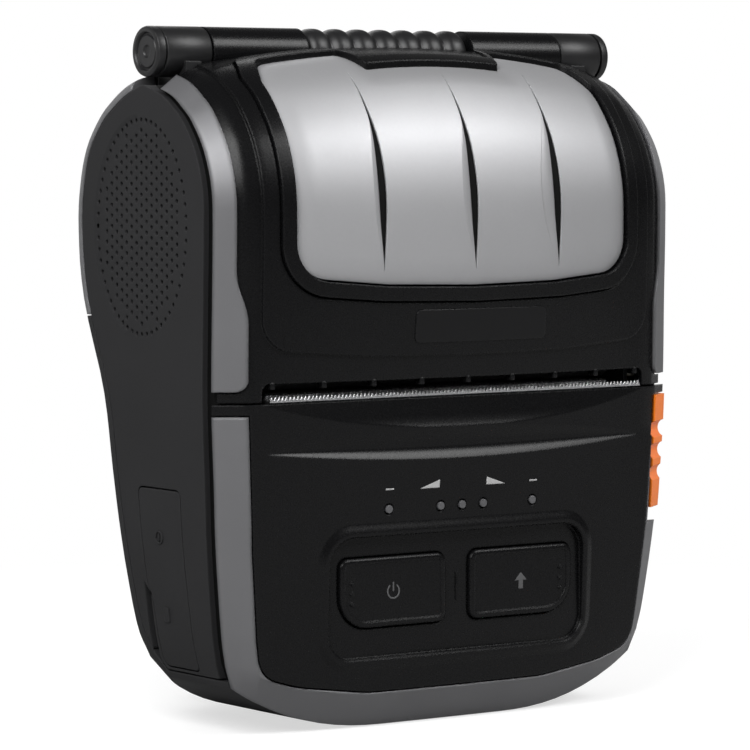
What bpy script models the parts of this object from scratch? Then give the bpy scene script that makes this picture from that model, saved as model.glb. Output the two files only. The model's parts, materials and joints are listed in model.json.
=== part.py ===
"""Portable label printer, standing on its base with the cover closed.

Metres, +Z up, the front towards -Y and +X to the right of someone who looks at the front.
The outer form is one lofted body, which the housing pieces share: it is hollowed, and each
piece is the part of that wall that lies inside its own outline.
"""

import math

import bmesh
import bpy
import numpy as np
from mathutils import Matrix, Vector

# Driving dimensions
MEDIA_WIDTH = 0.0800
BODY_HEIGHT = 0.1280
BODY_DEPTH = 0.0586
SIDE_ROOM = 0.0120

# Housing walls and clearances
WALL = 0.0026
GAP = 0.0003
RUNNING_GAP = 0.0004
CUT_OVERRUN = 0.0100
MERGE = 0.000002
FLAT_DEGREES = 0.05
STEP_DEPTH = 0.0005
STRIP_DEPTH = 0.0039
STRIP_WIDTH = 0.00546
GROOVE_WIDTH = 0.0027
GROOVE_DEPTH = 0.0013

HALF_WIDTH = MEDIA_WIDTH / 2 + SIDE_ROOM
HALF_DEPTH = BODY_DEPTH / 2
STRIP_START_SHARE = 1 - STRIP_WIDTH / HALF_WIDTH

# The form of the body. A row is one level of it, from the base to the top, in shares of the
# body's height, half depth and half width: the side's height, front and rear and half width,
# then the middle's front and its height, and the middle's rear and its height.
LEVEL_SHARES = (
    (0.070, -0.580, 0.068, 0.885, -0.635, 0.000, 0.444, 0.000),
    (0.102, -0.601, 0.212, 0.915, -0.799, 0.052, 0.631, 0.023),
    (0.148, -0.618, 0.307, 0.938, -0.816, 0.117, 0.703, 0.094),
    (0.266, -0.655, 0.382, 0.973, -0.836, 0.266, 0.768, 0.266),
    (0.364, -0.672, 0.444, 0.987, -0.870, 0.364, 0.819, 0.364),
    (0.473, -0.683, 0.505, 1.000, -0.922, 0.473, 0.881, 0.473),
    (0.606, -0.693, 0.751, 1.000, -0.986, 0.609, 0.962, 0.617),
    (0.708, -0.703, 0.819, 1.000, -1.000, 0.711, 0.976, 0.711),
    (0.770, -0.693, 0.799, 1.000, -0.980, 0.781, 0.949, 0.777),
    (0.823, -0.611, 0.724, 1.000, -0.898, 0.848, 0.853, 0.836),
    (0.864, -0.478, 0.570, 1.000, -0.744, 0.906, 0.703, 0.883),
    (0.884, -0.369, 0.444, 1.000, -0.580, 0.943, 0.532, 0.914),
    (0.902, -0.239, 0.297, 1.000, -0.392, 0.964, 0.341, 0.936),
    (0.916, -0.034, 0.119, 1.000, -0.154, 0.973, 0.154, 0.945),
)
SMILE_START_SHARE = 0.30
SMILE_POWER = 2.3
SMILE_TOP_SHARE = 0.21
FOOT_STRIP_SHARE = 0.13
REAR_POWER_LOW = 2.2
REAR_POWER_HIGH = 3.0
REAR_LOW_SHARE = 0.50
REAR_HIGH_SHARE = 0.66
EDGE_SHARES = (0.0, 0.20, 0.38, 0.54, 0.68, 0.79, STRIP_START_SHARE, 0.94, 0.977, 1.0)
CORE_SHARES = (0.0, 0.30, 0.54, 0.73, 0.85, STRIP_START_SHARE, 0.95, 1.0)
BLENDS_PER_LEVEL = 2
BORDER_LEVELS = (5, 3, 2, 1)
BORDER_FOOT_SHARES = (0.73, 0.42)
BORDER_BLEND = 0.0300
BORDER_CORNER = 0.0070

# Parting line and hinge
PARTING_SHARE = 0.4727
BARREL_RADIUS = 0.00465
HINGE_Y_SHARE = 0.048
PIN_RADIUS = 0.0012
OUTER_BARREL_LENGTH = 0.0098
CAP_LENGTH = 0.0016
CAP_DISH = 0.0008
CAP_ROUND = 0.0005
BARREL_SIDES = 28
CENTRE_BARREL_SHARE = 0.72308
RIB_PITCH = 0.0052
RIB_WIDTH = 0.0022
RIB_HEIGHT = 0.00045
FOOT_CLEARANCE = 0.0005
FOOT_REACH = 0.0046
FOOT_DEPTH = 0.0070
WEB_DEPTH = 0.0018
WEB_DROP = 0.0038
SADDLE_REACH = 0.0040

# Side panels, rear casing and its trim
TRIM_LOW_SHARE = 0.586
SIDE_EDGE = 0.0007
SIDE_FOOT_SHARE = 0.08125
SIDE_REACH_SHARE = 0.60

# Black band at the parting line, and the waist of the cover's frames above it
BAND_HALF = 0.0020
SHOULDER_WIDTH = 0.0018
WAIST_HIGH_SHARE = 0.643
WAIST_LOW_SHARE = 0.598
WAIST_BLEND = 0.0040
FRAME_CORNER = 0.0022

# Cover: window, its rim and the raised field round them, as half widths and heights
WINDOW_HALF_SHARE = 0.73077
WINDOW_LOW_SHARE = 0.62969
WINDOW_SIDE_LOW_SHARE = 0.64531
WINDOW_TO_BARREL = 0.004756
WINDOW_TAB_DEPTH = 0.0074
WINDOW_TAB_HALF_SHARE = 0.33077
WINDOW_TAB_SLOPE = 0.0020
WINDOW_CORNER = 0.0070
WINDOW_TOP_CORNER = 0.0030
TAB_CORNER = 0.0006
SMILE_DIP = 0.0006
RIM_WIDTH = 0.0026
RIM_RISE = 0.0005
FIELD_HALF_SHARE = 0.84615
FIELD_LOW_SHARE = 0.53281
FIELD_SIDE_LOW_SHARE = 0.54688
FIELD_CORNER = 0.0060
GROOVE_PITCH_SHARE = 0.38462
CRESCENT_LOW_SHARE = 0.66406
CRESCENT_TOP_SHARE = 0.92969
CRESCENT_DEPTH = 0.0011
CRESCENT_HALF = 0.00055
CRESCENT_COUNT = 3
CRESCENT_STEPS = 12

# Paper exit
SLOT_PLAY = 0.0037
SLOT_HEIGHT = 0.0034944
SLOT_CORNER = 0.0015
LIP_FRONT_SHARE = 0.826
LIP_BEVEL_LOW_SHARE = 0.42812
LIP_THICKNESS = 0.0034
BLADE_PLAY = 0.0025
BLADE_DEPTH = 0.0032
BLADE_THICKNESS = 0.0008
BLADE_REACH = 0.0004
TOOTH_PITCH = 0.00107
TOOTH_DEPTH = 0.0006

# Keypad
PAD_EDGE = 0.0034
PAD_LOW_SHARE = 0.10156
PAD_HIGH_SHARE = 0.29688
PAD_CORNER = 0.0060
PAD_FACE_SHARE = 0.785
PAD_FLOOR = 0.0022
BUTTON_LOW_SHARE = 0.14609
BUTTON_HIGH_SHARE = 0.24609
BUTTON_INNER = 0.0028
BUTTON_OUTER_SHARE = 0.51154
BUTTON_CORNERS = (0.0018, 0.0060, 0.0018, 0.0018)
BUTTON_RISE = 0.0008
BUTTON_FLANGE = 0.0008
FLANGE_THICKNESS = 0.0007
BUTTON_TRAVEL = 0.0007
DOT_RADIUS = 0.00035
DOT_PITCH = 0.0019
DOT_INSET = 0.0026
MARK_HALF = 0.00035
MARK_LENGTH = 0.0080
LED_Z_SHARE = 0.31484
LED_PLACES_SHARES = (-0.317, -0.094, 0.0, 0.094, 0.317)
LED_RADIUS = 0.00075
GUIDE_EDGE = 0.0015
GUIDE_HEIGHT = 0.0030
GUIDE_THICKNESS = 0.0014

# Main board and its switches
BOARD_HALF_SHARE = 0.73077
BOARD_LOW_SHARE = 0.09375
BOARD_HIGH_SHARE = 0.375
BOARD_THICKNESS = 0.0016
BOARD_TO_PAD = 0.0080
BOSS_RADIUS = 0.0022
BOSS_X_SHARE = 0.65385
BOSS_LOW_SHARE = 0.11719
BOSS_HIGH_SHARE = 0.35156
SWITCH_HALF = 0.0030

# Release lever on the right front corner
LEVER_LOW_SHARE = 0.28906
LEVER_HIGH_SHARE = 0.45781
LEVER_DEPTH = 0.0078
LEVER_RISE = 0.0003
LEVER_TRAVEL = 0.0025
LEVER_NOTCH_RADIUS = 0.0016
LEVER_NOTCH_PITCH = 0.0042
LEVER_NOTCHES = 3
GUIDE_WALL = 0.0014

# Port flap on the left side, as places along the depth and the height
FLAP_FRONT_SHARE = -0.28328
FLAP_REAR_SHARE = 0.18771
FLAP_LOW_SHARE = 0.0875
FLAP_HIGH_SHARE = 0.34375
FLAP_TAPER = 0.0026
FLAP_NOTCH_Z_SHARE = 0.19531
FLAP_NOTCH = 0.0012
FLAP_CORNER = 0.0012
FLAP_THICKNESS = 0.0016
POCKET_DEPTH = 0.0105
POCKET_WALL = 0.0012
USB_SIZE = (0.0080, 0.0034)
USB_Z_SHARE = 0.26953
SERIAL_SIZE = (0.0095, 0.0060)
SERIAL_Z_SHARE = 0.16797
SOCKET_DEPTH = 0.0045

# Battery
PACK_HALF_SHARE = 0.63462
PACK_LOW_SHARE = 0.0625
PACK_HIGH_SHARE = 0.41797
PACK_CORNER = 0.0025
CATCH_HALF = 0.0070
CATCH_TO_PACK = 0.0011
CATCH_HEIGHT = 0.0056
CATCH_STEM_HALF = 0.0030
CATCH_STEM_LENGTH = 0.0030
CATCH_THICKNESS = 0.0014
CATCH_TRAVEL = 0.0020
CONTACT_PITCH = 0.0040
CONTACTS = 4

# Roll bay
BAY_Y_SHARE = -0.03413
BAY_Z_SHARE = 0.71484
BAY_DEPTH_SHARE = 0.85324
BAY_HEIGHT_SHARE = 0.195313
BAY_WALL = 0.0014
MEDIA_PLAY = 0.0009
BAY_START_DEGREES = 108
BAY_TO_CHEEK = 0.0042
BAY_STEPS = 22
CHEEK_CLEARANCE = 0.0001

# Platen, gears and inner frame
PLATEN_TO_LIP = 0.0096
PLATEN_Z_SHARE = 0.525
PLATEN_RADIUS = 0.0050
SHAFT_RADIUS = 0.0015
SHAFT_TAIL = 0.0002
BUSH_RADIUS = 0.0030
BUSH_LENGTH = 0.0016
ARM_THICKNESS = 0.0014
ARM_BOSS = 0.0034
EYE_STEPS = 12
BEAM_CLEARANCE = 0.0008
BEAM_HEIGHT = 0.0025
BEAM_TO_PLATEN = 0.0024
FRAME_SET_IN = 0.0006
FRAME_THICKNESS = 0.0009
FRAME_WALL_LAP = 0.0030
FRAME_WALL_THICKNESS = 0.0015
FRAME_WALL_HIGH_SHARE = 0.46094
FRAME_TO_PORT = 0.0020
HEAD_STAND = 0.0036
DECK_THICKNESS = 0.0014
DECK_AHEAD = 0.0044
DECK_BEHIND = 0.0028
GEAR_MODULE = 0.0008
GEAR_WIDTH = 0.0020
PLATEN_TEETH = 14
IDLER_TEETH = 16
PINION_TEETH = 10
IDLER_DEGREES = -25
PINION_DEGREES = -90
TOOTH_TOP_SHARE = 0.16
TOOTH_ROOT_SHARE = 0.31
TIP_SHARE = 0.85
ROOT_SHARE = 1.15
GEAR_PLAY = 0.0001
AXLE_RADIUS = 0.0012
AXLE_TAIL = 0.0004
MOTOR_RADIUS = 0.0075
MOTOR_LENGTH = 0.0185
MOTOR_REAR_ROOM = 0.0054
MOTOR_SHAFT_RADIUS = 0.0010
MOTOR_NOSE = 0.0040
HEAD_EDGE_PLAY = 0.0005
HEAD_AHEAD = 0.0039
HEAD_BEHIND = 0.0061
HEAD_THICKNESS = 0.0038
HEAD_EDGE = 0.0003
HEAD_STEM_HALF_SHARE = 0.23077


# Heights that follow the body's height
TRIM_LOW = TRIM_LOW_SHARE * BODY_HEIGHT
WAIST_HIGH = WAIST_HIGH_SHARE * BODY_HEIGHT
WAIST_LOW = WAIST_LOW_SHARE * BODY_HEIGHT
SIDE_FOOT = SIDE_FOOT_SHARE * BODY_HEIGHT
WINDOW_LOW = WINDOW_LOW_SHARE * BODY_HEIGHT
WINDOW_SIDE_LOW = WINDOW_SIDE_LOW_SHARE * BODY_HEIGHT
FIELD_LOW = FIELD_LOW_SHARE * BODY_HEIGHT
FIELD_SIDE_LOW = FIELD_SIDE_LOW_SHARE * BODY_HEIGHT
CRESCENT_LOW = CRESCENT_LOW_SHARE * BODY_HEIGHT
CRESCENT_TOP = CRESCENT_TOP_SHARE * BODY_HEIGHT
LIP_BEVEL_LOW = LIP_BEVEL_LOW_SHARE * BODY_HEIGHT
PAD_LOW = PAD_LOW_SHARE * BODY_HEIGHT
PAD_HIGH = PAD_HIGH_SHARE * BODY_HEIGHT
BUTTON_LOW = BUTTON_LOW_SHARE * BODY_HEIGHT
BUTTON_HIGH = BUTTON_HIGH_SHARE * BODY_HEIGHT
LED_Z = LED_Z_SHARE * BODY_HEIGHT
BOARD_LOW = BOARD_LOW_SHARE * BODY_HEIGHT
BOARD_HIGH = BOARD_HIGH_SHARE * BODY_HEIGHT
BOSS_LOW = BOSS_LOW_SHARE * BODY_HEIGHT
BOSS_HIGH = BOSS_HIGH_SHARE * BODY_HEIGHT
LEVER_LOW = LEVER_LOW_SHARE * BODY_HEIGHT
LEVER_HIGH = LEVER_HIGH_SHARE * BODY_HEIGHT
FLAP_LOW = FLAP_LOW_SHARE * BODY_HEIGHT
FLAP_HIGH = FLAP_HIGH_SHARE * BODY_HEIGHT
FLAP_NOTCH_Z = FLAP_NOTCH_Z_SHARE * BODY_HEIGHT
USB_Z = USB_Z_SHARE * BODY_HEIGHT
SERIAL_Z = SERIAL_Z_SHARE * BODY_HEIGHT
PACK_LOW = PACK_LOW_SHARE * BODY_HEIGHT
PACK_HIGH = PACK_HIGH_SHARE * BODY_HEIGHT
BAY_Z = BAY_Z_SHARE * BODY_HEIGHT
PLATEN_Z = PLATEN_Z_SHARE * BODY_HEIGHT
FRAME_WALL_HIGH = FRAME_WALL_HIGH_SHARE * BODY_HEIGHT
PARTING_Z = PARTING_SHARE * BODY_HEIGHT
SLOT_TOP = PARTING_Z + SLOT_HEIGHT
HINGE_Z = BODY_HEIGHT - BARREL_RADIUS
FAR = BODY_HEIGHT + CUT_OVERRUN

# Widths that follow the body's width, and depths that follow its depth
WINDOW_HALF = WINDOW_HALF_SHARE * HALF_WIDTH
WINDOW_TAB_HALF = WINDOW_TAB_HALF_SHARE * HALF_WIDTH
FIELD_HALF = FIELD_HALF_SHARE * HALF_WIDTH
GROOVE_PITCH = GROOVE_PITCH_SHARE * HALF_WIDTH
BUTTON_OUTER = BUTTON_OUTER_SHARE * HALF_WIDTH
BOARD_HALF = BOARD_HALF_SHARE * HALF_WIDTH
BOSS_X = BOSS_X_SHARE * HALF_WIDTH
PACK_HALF = PACK_HALF_SHARE * HALF_WIDTH
HEAD_STEM_HALF = HEAD_STEM_HALF_SHARE * HALF_WIDTH
FLAP_FRONT = FLAP_FRONT_SHARE * HALF_DEPTH
FLAP_REAR = FLAP_REAR_SHARE * HALF_DEPTH
BAY_Y = BAY_Y_SHARE * HALF_DEPTH
HINGE_Y = HINGE_Y_SHARE * HALF_DEPTH
REAR_OF_BARREL = HINGE_Y + BARREL_RADIUS + GAP
FRONT_OF_BARREL = HINGE_Y - BARREL_RADIUS - GAP
WINDOW_TOP = FRONT_OF_BARREL - WINDOW_TO_BARREL
WINDOW_TAB_TOP = WINDOW_TOP - WINDOW_TAB_DEPTH
CENTRE_BARREL_LENGTH = CENTRE_BARREL_SHARE * HALF_WIDTH
PAD_HALF = BUTTON_OUTER + PAD_EDGE
GUIDE_HALF = LED_PLACES_SHARES[-1] * HALF_WIDTH + GUIDE_EDGE
BOARD_BACK = PAD_FACE_SHARE * HALF_DEPTH - BOARD_TO_PAD
POCKET_FLOOR = HALF_WIDTH - POCKET_DEPTH

# The row of pieces from the end of the media outwards
MEDIA_END = MEDIA_WIDTH / 2
ARM_START = MEDIA_END + RUNNING_GAP
ARM_END = ARM_START + ARM_THICKNESS
BUSH_START = ARM_END + RUNNING_GAP
BUSH_END = BUSH_START + BUSH_LENGTH
FRAME_START = BUSH_START + FRAME_SET_IN
FRAME_END = FRAME_START + FRAME_THICKNESS
GEAR_START = FRAME_END + RUNNING_GAP
GEAR_END = GEAR_START + GEAR_WIDTH
SHAFT_END = GEAR_END + SHAFT_TAIL
AXLE_END = GEAR_END + AXLE_TAIL
MOTOR_START = FRAME_START - GAP - MOTOR_LENGTH
BAY_HALF = MEDIA_END + MEDIA_PLAY + BAY_WALL
FOOT_START = BAY_HALF + FOOT_CLEARANCE
SLOT_HALF = MEDIA_END + SLOT_PLAY
LIP_HALF = SLOT_HALF + GAP
BLADE_HALF = MEDIA_END + BLADE_PLAY
HEAD_HALF = MEDIA_END - HEAD_EDGE_PLAY

# The print line: head, platen, bay and battery, one behind the other
PLATEN_Y = PLATEN_TO_LIP - LIP_FRONT_SHARE * HALF_DEPTH
BEAM_LOW = PLATEN_Z + PLATEN_RADIUS + BEAM_CLEARANCE
BEAM_HIGH = BEAM_LOW + BEAM_HEIGHT
BEAM_REAR = PLATEN_Y - BEAM_TO_PLATEN
HEAD_TOP = PLATEN_Z - PLATEN_RADIUS - RUNNING_GAP
HEAD_FRONT = PLATEN_Y - HEAD_AHEAD
HEAD_REAR = PLATEN_Y + HEAD_BEHIND
DECK_Z = HEAD_TOP - HEAD_THICKNESS - HEAD_STAND - DECK_THICKNESS
DECK_FRONT = PLATEN_Y - DECK_AHEAD
DECK_REAR = PLATEN_Y + DECK_BEHIND
CHEEK_FRONT = PLATEN_Y + PLATEN_RADIUS + CHEEK_CLEARANCE
BAY_RADIUS = min(BAY_DEPTH_SHARE * HALF_DEPTH, BAY_HEIGHT_SHARE * BODY_HEIGHT)
FRAME_WALL_HALF = PACK_HALF + FRAME_WALL_LAP
FRAME_SHOULDER = FLAP_HIGH + GAP + POCKET_WALL + FRAME_TO_PORT
CATCH_LOW = PACK_HIGH + CATCH_TO_PACK
CATCH_HIGH = CATCH_LOW + CATCH_HEIGHT
FRAME_BARREL_START = HALF_WIDTH - CAP_LENGTH - GAP - OUTER_BARREL_LENGTH
BUTTON_MIDDLE = (BUTTON_LOW + BUTTON_HIGH) / 2
CATCH_MIDDLE = (CATCH_LOW + CATCH_HIGH) / 2

COLOURS = {
    "front_black": ((0.010, 0.010, 0.011), 0.38, 0.0),
    "side_black": ((0.021, 0.021, 0.023), 0.55, 0.0),
    "frame_grey": ((0.180, 0.182, 0.188), 0.36, 0.6),
    "window_silver": ((0.420, 0.420, 0.425), 0.30, 0.7),
    "lever_orange": ((0.860, 0.190, 0.015), 0.45, 0.0),
    "steel": ((0.520, 0.520, 0.520), 0.28, 1.0),
    "rubber_black": ((0.018, 0.018, 0.018), 0.80, 0.0),
    "inner_black": ((0.030, 0.030, 0.032), 0.60, 0.0),
    "gear_white": ((0.620, 0.600, 0.550), 0.50, 0.0),
    "board_green": ((0.012, 0.090, 0.035), 0.50, 0.0),
    "lens_grey": ((0.150, 0.150, 0.155), 0.25, 0.0),
    "gold": ((0.700, 0.480, 0.160), 0.30, 1.0),
}


def clear_scene():
    for obj in list(bpy.data.objects):
        bpy.data.objects.remove(obj, do_unlink=True)


def new_collection(name):
    collection = bpy.data.collections.new(name)
    bpy.context.scene.collection.children.link(collection)
    return collection


def make_material(name):
    colour, roughness, metallic = COLOURS[name]
    material = bpy.data.materials.new(name)
    material.use_nodes = True
    shader = material.node_tree.nodes["Principled BSDF"]
    shader.inputs["Base Color"].default_value = (*colour, 1.0)
    shader.inputs["Roughness"].default_value = roughness
    shader.inputs["Metallic"].default_value = metallic
    material.diffuse_color = (*colour, 1.0)
    return material


clear_scene()
PRINTER = new_collection("label_printer")
TOOLS = new_collection("construction")
MATERIALS = {name: make_material(name) for name in COLOURS}


def add_object(name, mesh, collection=TOOLS):
    obj = bpy.data.objects.new(name, mesh)
    collection.objects.link(obj)
    return obj


def from_bmesh(name, work):
    bmesh.ops.recalc_face_normals(work, faces=work.faces)
    mesh = bpy.data.meshes.new(name)
    work.to_mesh(mesh)
    work.free()
    return add_object(name, mesh)


def drop(obj):
    bpy.data.objects.remove(obj, do_unlink=True)


def evaluated_copy(obj, name):
    """A plain mesh object with the modifiers and the placing of the given one worked in."""
    graph = bpy.context.evaluated_depsgraph_get()
    graph.update()
    mesh = bpy.data.meshes.new_from_object(obj.evaluated_get(graph))
    mesh.transform(obj.matrix_world)
    return add_object(name, mesh)


def duplicate(obj, name="copy"):
    return add_object(name, obj.data.copy())


def combine(target, other, operation, keep_other=False):
    """Boolean of two mesh objects, worked in at once. The other one is used up."""
    modifier = target.modifiers.new(operation.lower(), "BOOLEAN")
    modifier.operation = operation
    modifier.object = other
    modifier.solver = "EXACT"
    result = evaluated_copy(target, target.name)
    drop(target)
    if not keep_other:
        drop(other)
    return result


def cut(target, *others):
    for other in others:
        target = combine(target, other, "DIFFERENCE")
    return target


def join(target, *others):
    for other in others:
        target = combine(target, other, "UNION")
    return target


def common(target, *others):
    for other in others:
        target = combine(target, other, "INTERSECT")
    return target


def publish(name, obj, material, origin=(0, 0, 0), smooth_degrees=35):
    """Makes a finished solid into one named piece, its origin on its joint's axis where it moves."""
    work = bmesh.new()
    work.from_mesh(obj.data)
    bmesh.ops.remove_doubles(work, verts=work.verts, dist=MERGE)
    bmesh.ops.dissolve_limit(
        work, angle_limit=math.radians(FLAT_DEGREES), verts=work.verts, edges=work.edges
    )
    work.to_mesh(obj.data)
    work.free()
    obj.data.transform(Matrix.Translation(-Vector(origin)))
    obj.location = origin
    obj.data.materials.clear()
    obj.data.materials.append(MATERIALS[material])
    obj.data.shade_smooth()
    obj.data.set_sharp_from_angle(angle=math.radians(smooth_degrees))
    TOOLS.objects.unlink(obj)
    PRINTER.objects.link(obj)
    obj.name = name
    obj.data.name = name
    return obj


def box(x, y, z, bevel=0.0, segments=3):
    """A box between two places along each axis, its edges rounded if asked."""
    work = bmesh.new()
    bmesh.ops.create_cube(work, size=1)
    spans = [(min(pair), max(pair)) for pair in (x, y, z)]
    scale = Matrix.Diagonal([high - low for low, high in spans] + [1])
    centre = Matrix.Translation([(low + high) / 2 for low, high in spans])
    bmesh.ops.transform(work, matrix=centre @ scale, verts=work.verts)
    if bevel:
        bmesh.ops.bevel(
            work, geom=work.edges[:], offset=bevel, segments=segments, profile=0.5, affect="EDGES"
        )
    return from_bmesh("box", work)


AXIS_TURNS = {
    "X": Matrix.Rotation(math.pi / 2, 4, "Y"),
    "Y": Matrix.Rotation(-math.pi / 2, 4, "X"),
    "Z": Matrix.Identity(4),
}


def cylinder(radius, start, end, centre, axis="X", sides=24):
    """A cylinder along an axis, from one place on it to another, about the other two places."""
    work = bmesh.new()
    bmesh.ops.create_cone(
        work, cap_ends=True, segments=sides, radius1=radius, radius2=radius, depth=abs(end - start)
    )
    middle = (start + end) / 2
    a, b = centre
    place = {"X": (middle, a, b), "Y": (a, middle, b), "Z": (a, b, middle)}[axis]
    bmesh.ops.transform(work, matrix=Matrix.Translation(place) @ AXIS_TURNS[axis], verts=work.verts)
    return from_bmesh("cylinder", work)


def turned(profile, centre, sides=BARREL_SIDES):
    """A profile of (place along X, radius) turned about a line along X through the centre (y, z)."""
    mesh = bpy.data.meshes.new("turned")
    points = [(radius, 0, along) for along, radius in profile]
    mesh.from_pydata(points, [(i, i + 1) for i in range(len(points) - 1)], [])
    obj = add_object("turned", mesh)
    screw = obj.modifiers.new("screw", "SCREW")
    screw.steps = sides
    screw.render_steps = sides
    screw.use_merge_vertices = True
    screw.merge_threshold = MERGE
    result = evaluated_copy(obj, "turned")
    drop(obj)
    work = bmesh.new()
    work.from_mesh(result.data)
    place = Matrix.Translation((0, *centre)) @ Matrix.Rotation(math.pi / 2, 4, "Y")
    bmesh.ops.transform(work, matrix=place, verts=work.verts)
    drop(result)
    return from_bmesh("turned", work)


def prism(outline, axis, start, end):
    """A flat outline made thick along an axis. Its points are the other two places, in order."""
    curve = bpy.data.curves.new("outline", "CURVE")
    curve.dimensions = "2D"
    curve.fill_mode = "BOTH"
    curve.extrude = abs(end - start) / 2
    spline = curve.splines.new("POLY")
    spline.points.add(len(outline) - 1)
    for point, (a, b) in zip(spline.points, outline):
        point.co = (a, b, 0, 1)
    spline.use_cyclic_u = True
    flat = add_object("outline", curve)
    solid = evaluated_copy(flat, "prism")
    drop(flat)
    middle = (start + end) / 2
    rows = {
        "X": ((0, 0, 1, middle), (1, 0, 0, 0), (0, 1, 0, 0), (0, 0, 0, 1)),
        "Y": ((1, 0, 0, 0), (0, 0, -1, middle), (0, 1, 0, 0), (0, 0, 0, 1)),
        "Z": ((1, 0, 0, 0), (0, 1, 0, 0), (0, 0, 1, middle), (0, 0, 0, 1)),
    }[axis]
    work = bmesh.new()
    work.from_mesh(solid.data)
    drop(solid)
    bmesh.ops.remove_doubles(work, verts=work.verts, dist=MERGE)
    bmesh.ops.transform(work, matrix=Matrix(rows), verts=work.verts)
    bmesh.ops.dissolve_limit(
        work, angle_limit=math.radians(FLAT_DEGREES), verts=work.verts, edges=work.edges
    )
    return from_bmesh("prism", work)


def grown(outline, distance):
    """The outline moved outwards by a distance, or inwards where it is negative."""
    points = np.array(outline, float)
    after = np.roll(points, -1, axis=0)
    turning = np.sum(points[:, 0] * after[:, 1] - after[:, 0] * points[:, 1])
    along = after - points
    along /= np.linalg.norm(along, axis=1)[:, None]
    normal = np.stack([along[:, 1], -along[:, 0]], axis=1) * np.sign(turning)
    before = np.roll(normal, 1, axis=0)
    mean = normal + before
    mean /= np.linalg.norm(mean, axis=1)[:, None]
    reach = distance / np.maximum(np.sum(mean * normal, axis=1), 0.5)
    return [tuple(p) for p in points + mean * reach[:, None]]


def rounded(outline, radii, steps=5):
    """The outline with each corner rounded by an arc of its radius."""
    result = []
    count = len(outline)
    for i in range(count):
        here = Vector(outline[i])
        back = Vector(outline[i - 1]) - here
        ahead = Vector(outline[(i + 1) % count]) - here
        radius = radii[i] if isinstance(radii, (list, tuple)) else radii
        half = back.angle(ahead) / 2
        if not radius or half > math.radians(88):
            result.append(tuple(here))
            continue
        reach = min(radius / math.tan(half), 0.49 * back.length, 0.49 * ahead.length)
        radius = reach * math.tan(half)
        start = here + back.normalized() * reach
        end = here + ahead.normalized() * reach
        centre = here + (back.normalized() + ahead.normalized()).normalized() * radius / math.sin(half)
        first = start - centre
        sweep = first.angle_signed(end - centre)
        for k in range(steps + 1):
            turn = -sweep * k / steps
            spoke = Vector((
                first.x * math.cos(turn) - first.y * math.sin(turn),
                first.x * math.sin(turn) + first.y * math.cos(turn),
            ))
            result.append(tuple(centre + spoke))
    return result


def rectangle(x, z):
    return [(x[0], z[0]), (x[1], z[0]), (x[1], z[1]), (x[0], z[1])]


def blended(rows, blends):
    """Rows on a smooth curve through the given ones, with some blends from each to the next."""
    rows = np.array(rows, float)
    padded = np.vstack([2 * rows[0] - rows[1], rows, 2 * rows[-1] - rows[-2]])
    result = []
    for i in range(len(rows) - 1):
        a, b, c, d = padded[i : i + 4]
        for k in range(blends):
            t = k / blends
            result.append(
                b + t * (c - a) / 2 + t**2 * (a - 2.5 * b + 2 * c - d / 2)
                + t**3 * (-a + 3 * b - 3 * c + d) / 2
            )
    return np.vstack([result, rows[-1]])


def body_levels(blends):
    levels = np.array(LEVEL_SHARES, float)
    levels = np.vstack([levels[:1], blended(levels[1:], blends)])
    unit = (BODY_HEIGHT, HALF_DEPTH, HALF_DEPTH, HALF_WIDTH, HALF_DEPTH, BODY_HEIGHT, HALF_DEPTH, BODY_HEIGHT)
    return levels * np.array(unit)


def smile(s):
    """How far the base has risen towards the side, from 0 in the middle to 1 at the side."""
    return max(0.0, (abs(s) - SMILE_START_SHARE) / (1 - SMILE_START_SHARE)) ** SMILE_POWER


def strip_edges(levels):
    """The line where the front meets the sloping side strip, at each level, as (y, z)."""
    front = levels[:, [1, 0]]
    tangent = np.gradient(front, axis=0)
    tangent /= np.linalg.norm(tangent, axis=1)[:, None]
    outward = np.stack([-tangent[:, 1], tangent[:, 0]], axis=1)
    depth = np.full(len(levels), STRIP_DEPTH)
    depth[0] *= FOOT_STRIP_SHARE
    return front + outward * depth[:, None]


def body_ring(levels, s):
    """The outline (y, z) of the body at a share s of its half width, front first, then the rear."""
    side_z, side_front, side_rear, _, mid_front, mid_front_z, mid_rear, mid_rear_z = levels.T
    share = abs(s)
    edge = strip_edges(levels)
    low = side_z < SMILE_TOP_SHARE * BODY_HEIGHT
    crown = min(1.0, share / STRIP_START_SHARE) ** 2
    front = np.stack([mid_front, mid_front_z], axis=1) * (1 - crown) + edge * crown
    if share > STRIP_START_SHARE:
        out = (share - STRIP_START_SHARE) / (1 - STRIP_START_SHARE)
        front = edge * (1 - out) + np.stack([side_front, side_z], axis=1) * out
    front[low, 1] = (mid_front_z + (side_z - mid_front_z) * smile(s))[low]
    height = side_z / BODY_HEIGHT
    mix = np.clip((height - REAR_LOW_SHARE) / (REAR_HIGH_SHARE - REAR_LOW_SHARE), 0, 1)
    power = REAR_POWER_LOW + (REAR_POWER_HIGH - REAR_POWER_LOW) * mix
    fall = 1 - (1 - share**power) ** (1 / power)
    rear_y = mid_rear + (side_rear - mid_rear) * fall
    rear_z = mid_rear_z + (side_z - mid_rear_z) * fall
    rear = np.stack([rear_y, rear_z], axis=1)
    rear[low, 1] = (mid_rear_z + (side_z - mid_rear_z) * smile(s))[low]
    return np.vstack([front, rear[::-1]])


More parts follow.
